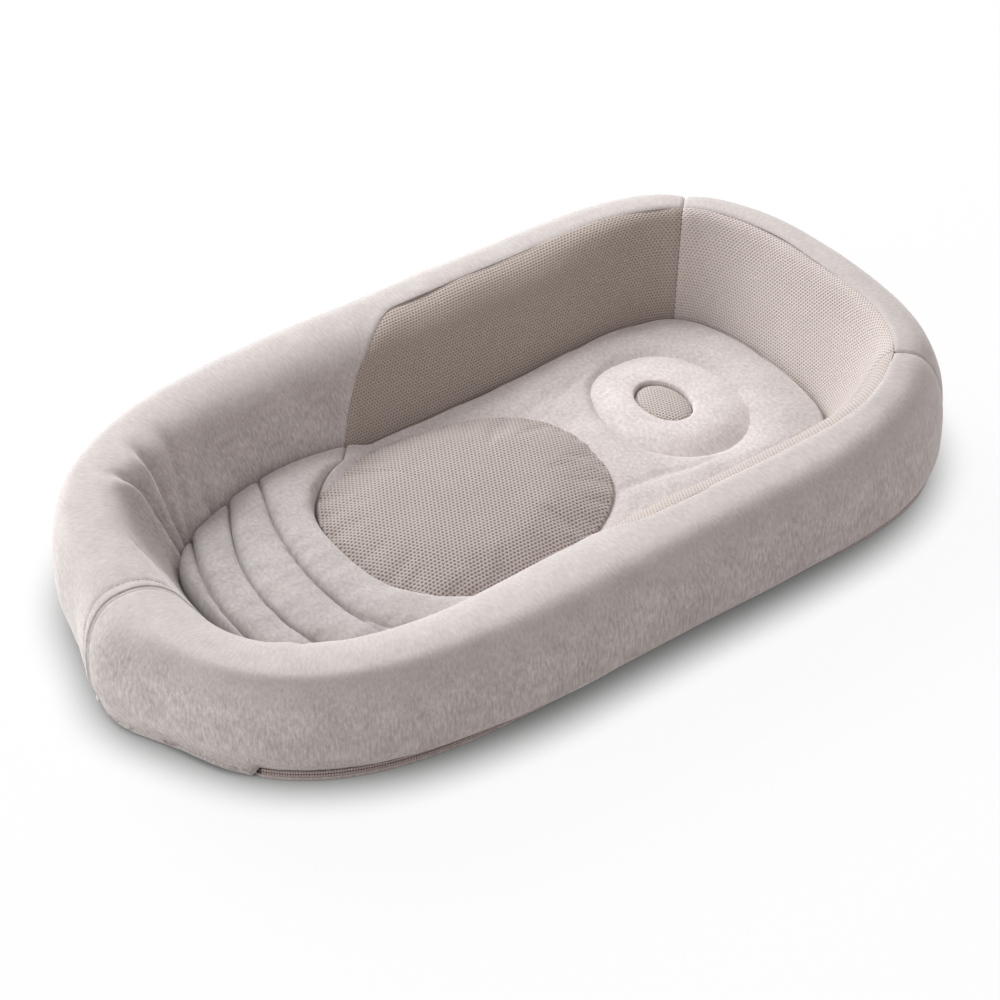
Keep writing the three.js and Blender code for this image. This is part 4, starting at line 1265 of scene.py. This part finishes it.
# Studio: a soft lamp behind, two weaker ones beyond the ends, a pale floor and an even surround
def add_camera():
    azimuth, elevation = CAMERA_AZIMUTH, CAMERA_ELEVATION
    level = cos(elevation)
    back = Vector((sin(azimuth) * level, -cos(azimuth) * level, sin(elevation)))
    data = bpy.data.cameras.new("camera")
    data.lens = CAMERA_LENS
    data.sensor_width = SENSOR_WIDTH
    camera = add_object("camera", data)
    camera.location = CAMERA_TARGET + back * CAMERA_DISTANCE
    camera.rotation_euler = (-back).to_track_quat("-Z", "Y").to_euler()
    scene.camera = camera


def add_softbox(name, way, size, power):
    data = bpy.data.lights.new(name, "AREA")
    data.shape = "SQUARE"
    data.size = size
    data.energy = power
    lamp = add_object(name, data)
    lamp.location = Vector(way).normalized() * LAMP_DISTANCE
    lamp.rotation_euler = (-lamp.location).to_track_quat("-Z", "Y").to_euler()


def seen_straight(tree):
    """1 where the camera sees a thing, also mirrored, and 0 where the thing only gives light."""
    path = add_node(tree, "LightPath").outputs
    seen = math_node(tree, "MAXIMUM", path["Is Camera Ray"], path["Is Glossy Ray"])
    return math_node(tree, "MAXIMUM", seen, path["Is Transmission Ray"])


def add_surround(light):
    world = bpy.data.worlds.new("surround")
    scene.world = world
    world.use_nodes = True
    tree = world.node_tree
    tree.nodes.clear()
    lit = add_node(tree, "Background", {"Color": paint("fff3f3"), "Strength": light})
    white = add_node(tree, "Background", {"Color": paint("fffffc"), "Strength": 1.0})
    shades = {0: seen_straight(tree), 1: lit.outputs[0], 2: white.outputs[0]}
    both = add_node(tree, "MixShader", shades)
    add_node(tree, "OutputWorld", {"Surface": both.outputs[0]})


def add_floor():
    """A pale floor that looks white, with a painted soft shadow close to the object's foot."""
    material, tree = new_material("studio_floor")
    seen = seen_straight(tree)
    open_sky = add_node(tree, "AmbientOcclusion", {"Distance": SHADOW_REACH * MM}, samples=16)
    clear = add_node(tree, "MapRange", {0: open_sky.outputs["AO"]}, interpolation_type="SMOOTHSTEP")
    surface(
        tree,
        Base_Color=mixed(tree, seen, "f0f0ee", FLOOR_SEEN),
        Roughness=1.0,
        Specular_IOR_Level=0.0,
        # Painted contact shadow: the glow turns towards a dark grey where the object hides the floor from the
        # sky.
        Emission_Color=mixed(tree, clear.outputs[0], "232622", "ffffff"),
        Emission_Strength=math_node(tree, "MULTIPLY", seen, FLOOR_GLOW),
    )
    bm = bmesh.new()
    bmesh.ops.create_grid(bm, x_segments=1, y_segments=1, size=FLOOR_HALF_SIZE)
    bmesh.ops.translate(bm, verts=bm.verts, vec=Vector((0, 0, -FLOOR_DROP)))
    add_form("studio_floor", bm, material)


add_camera()
for name, lamp in SOFTBOXES.items():
    add_softbox(name, *lamp)
add_surround(SURROUND_LIGHT)
add_floor()
scene.view_settings.view_transform = "Standard"
scene.render.film_transparent = False
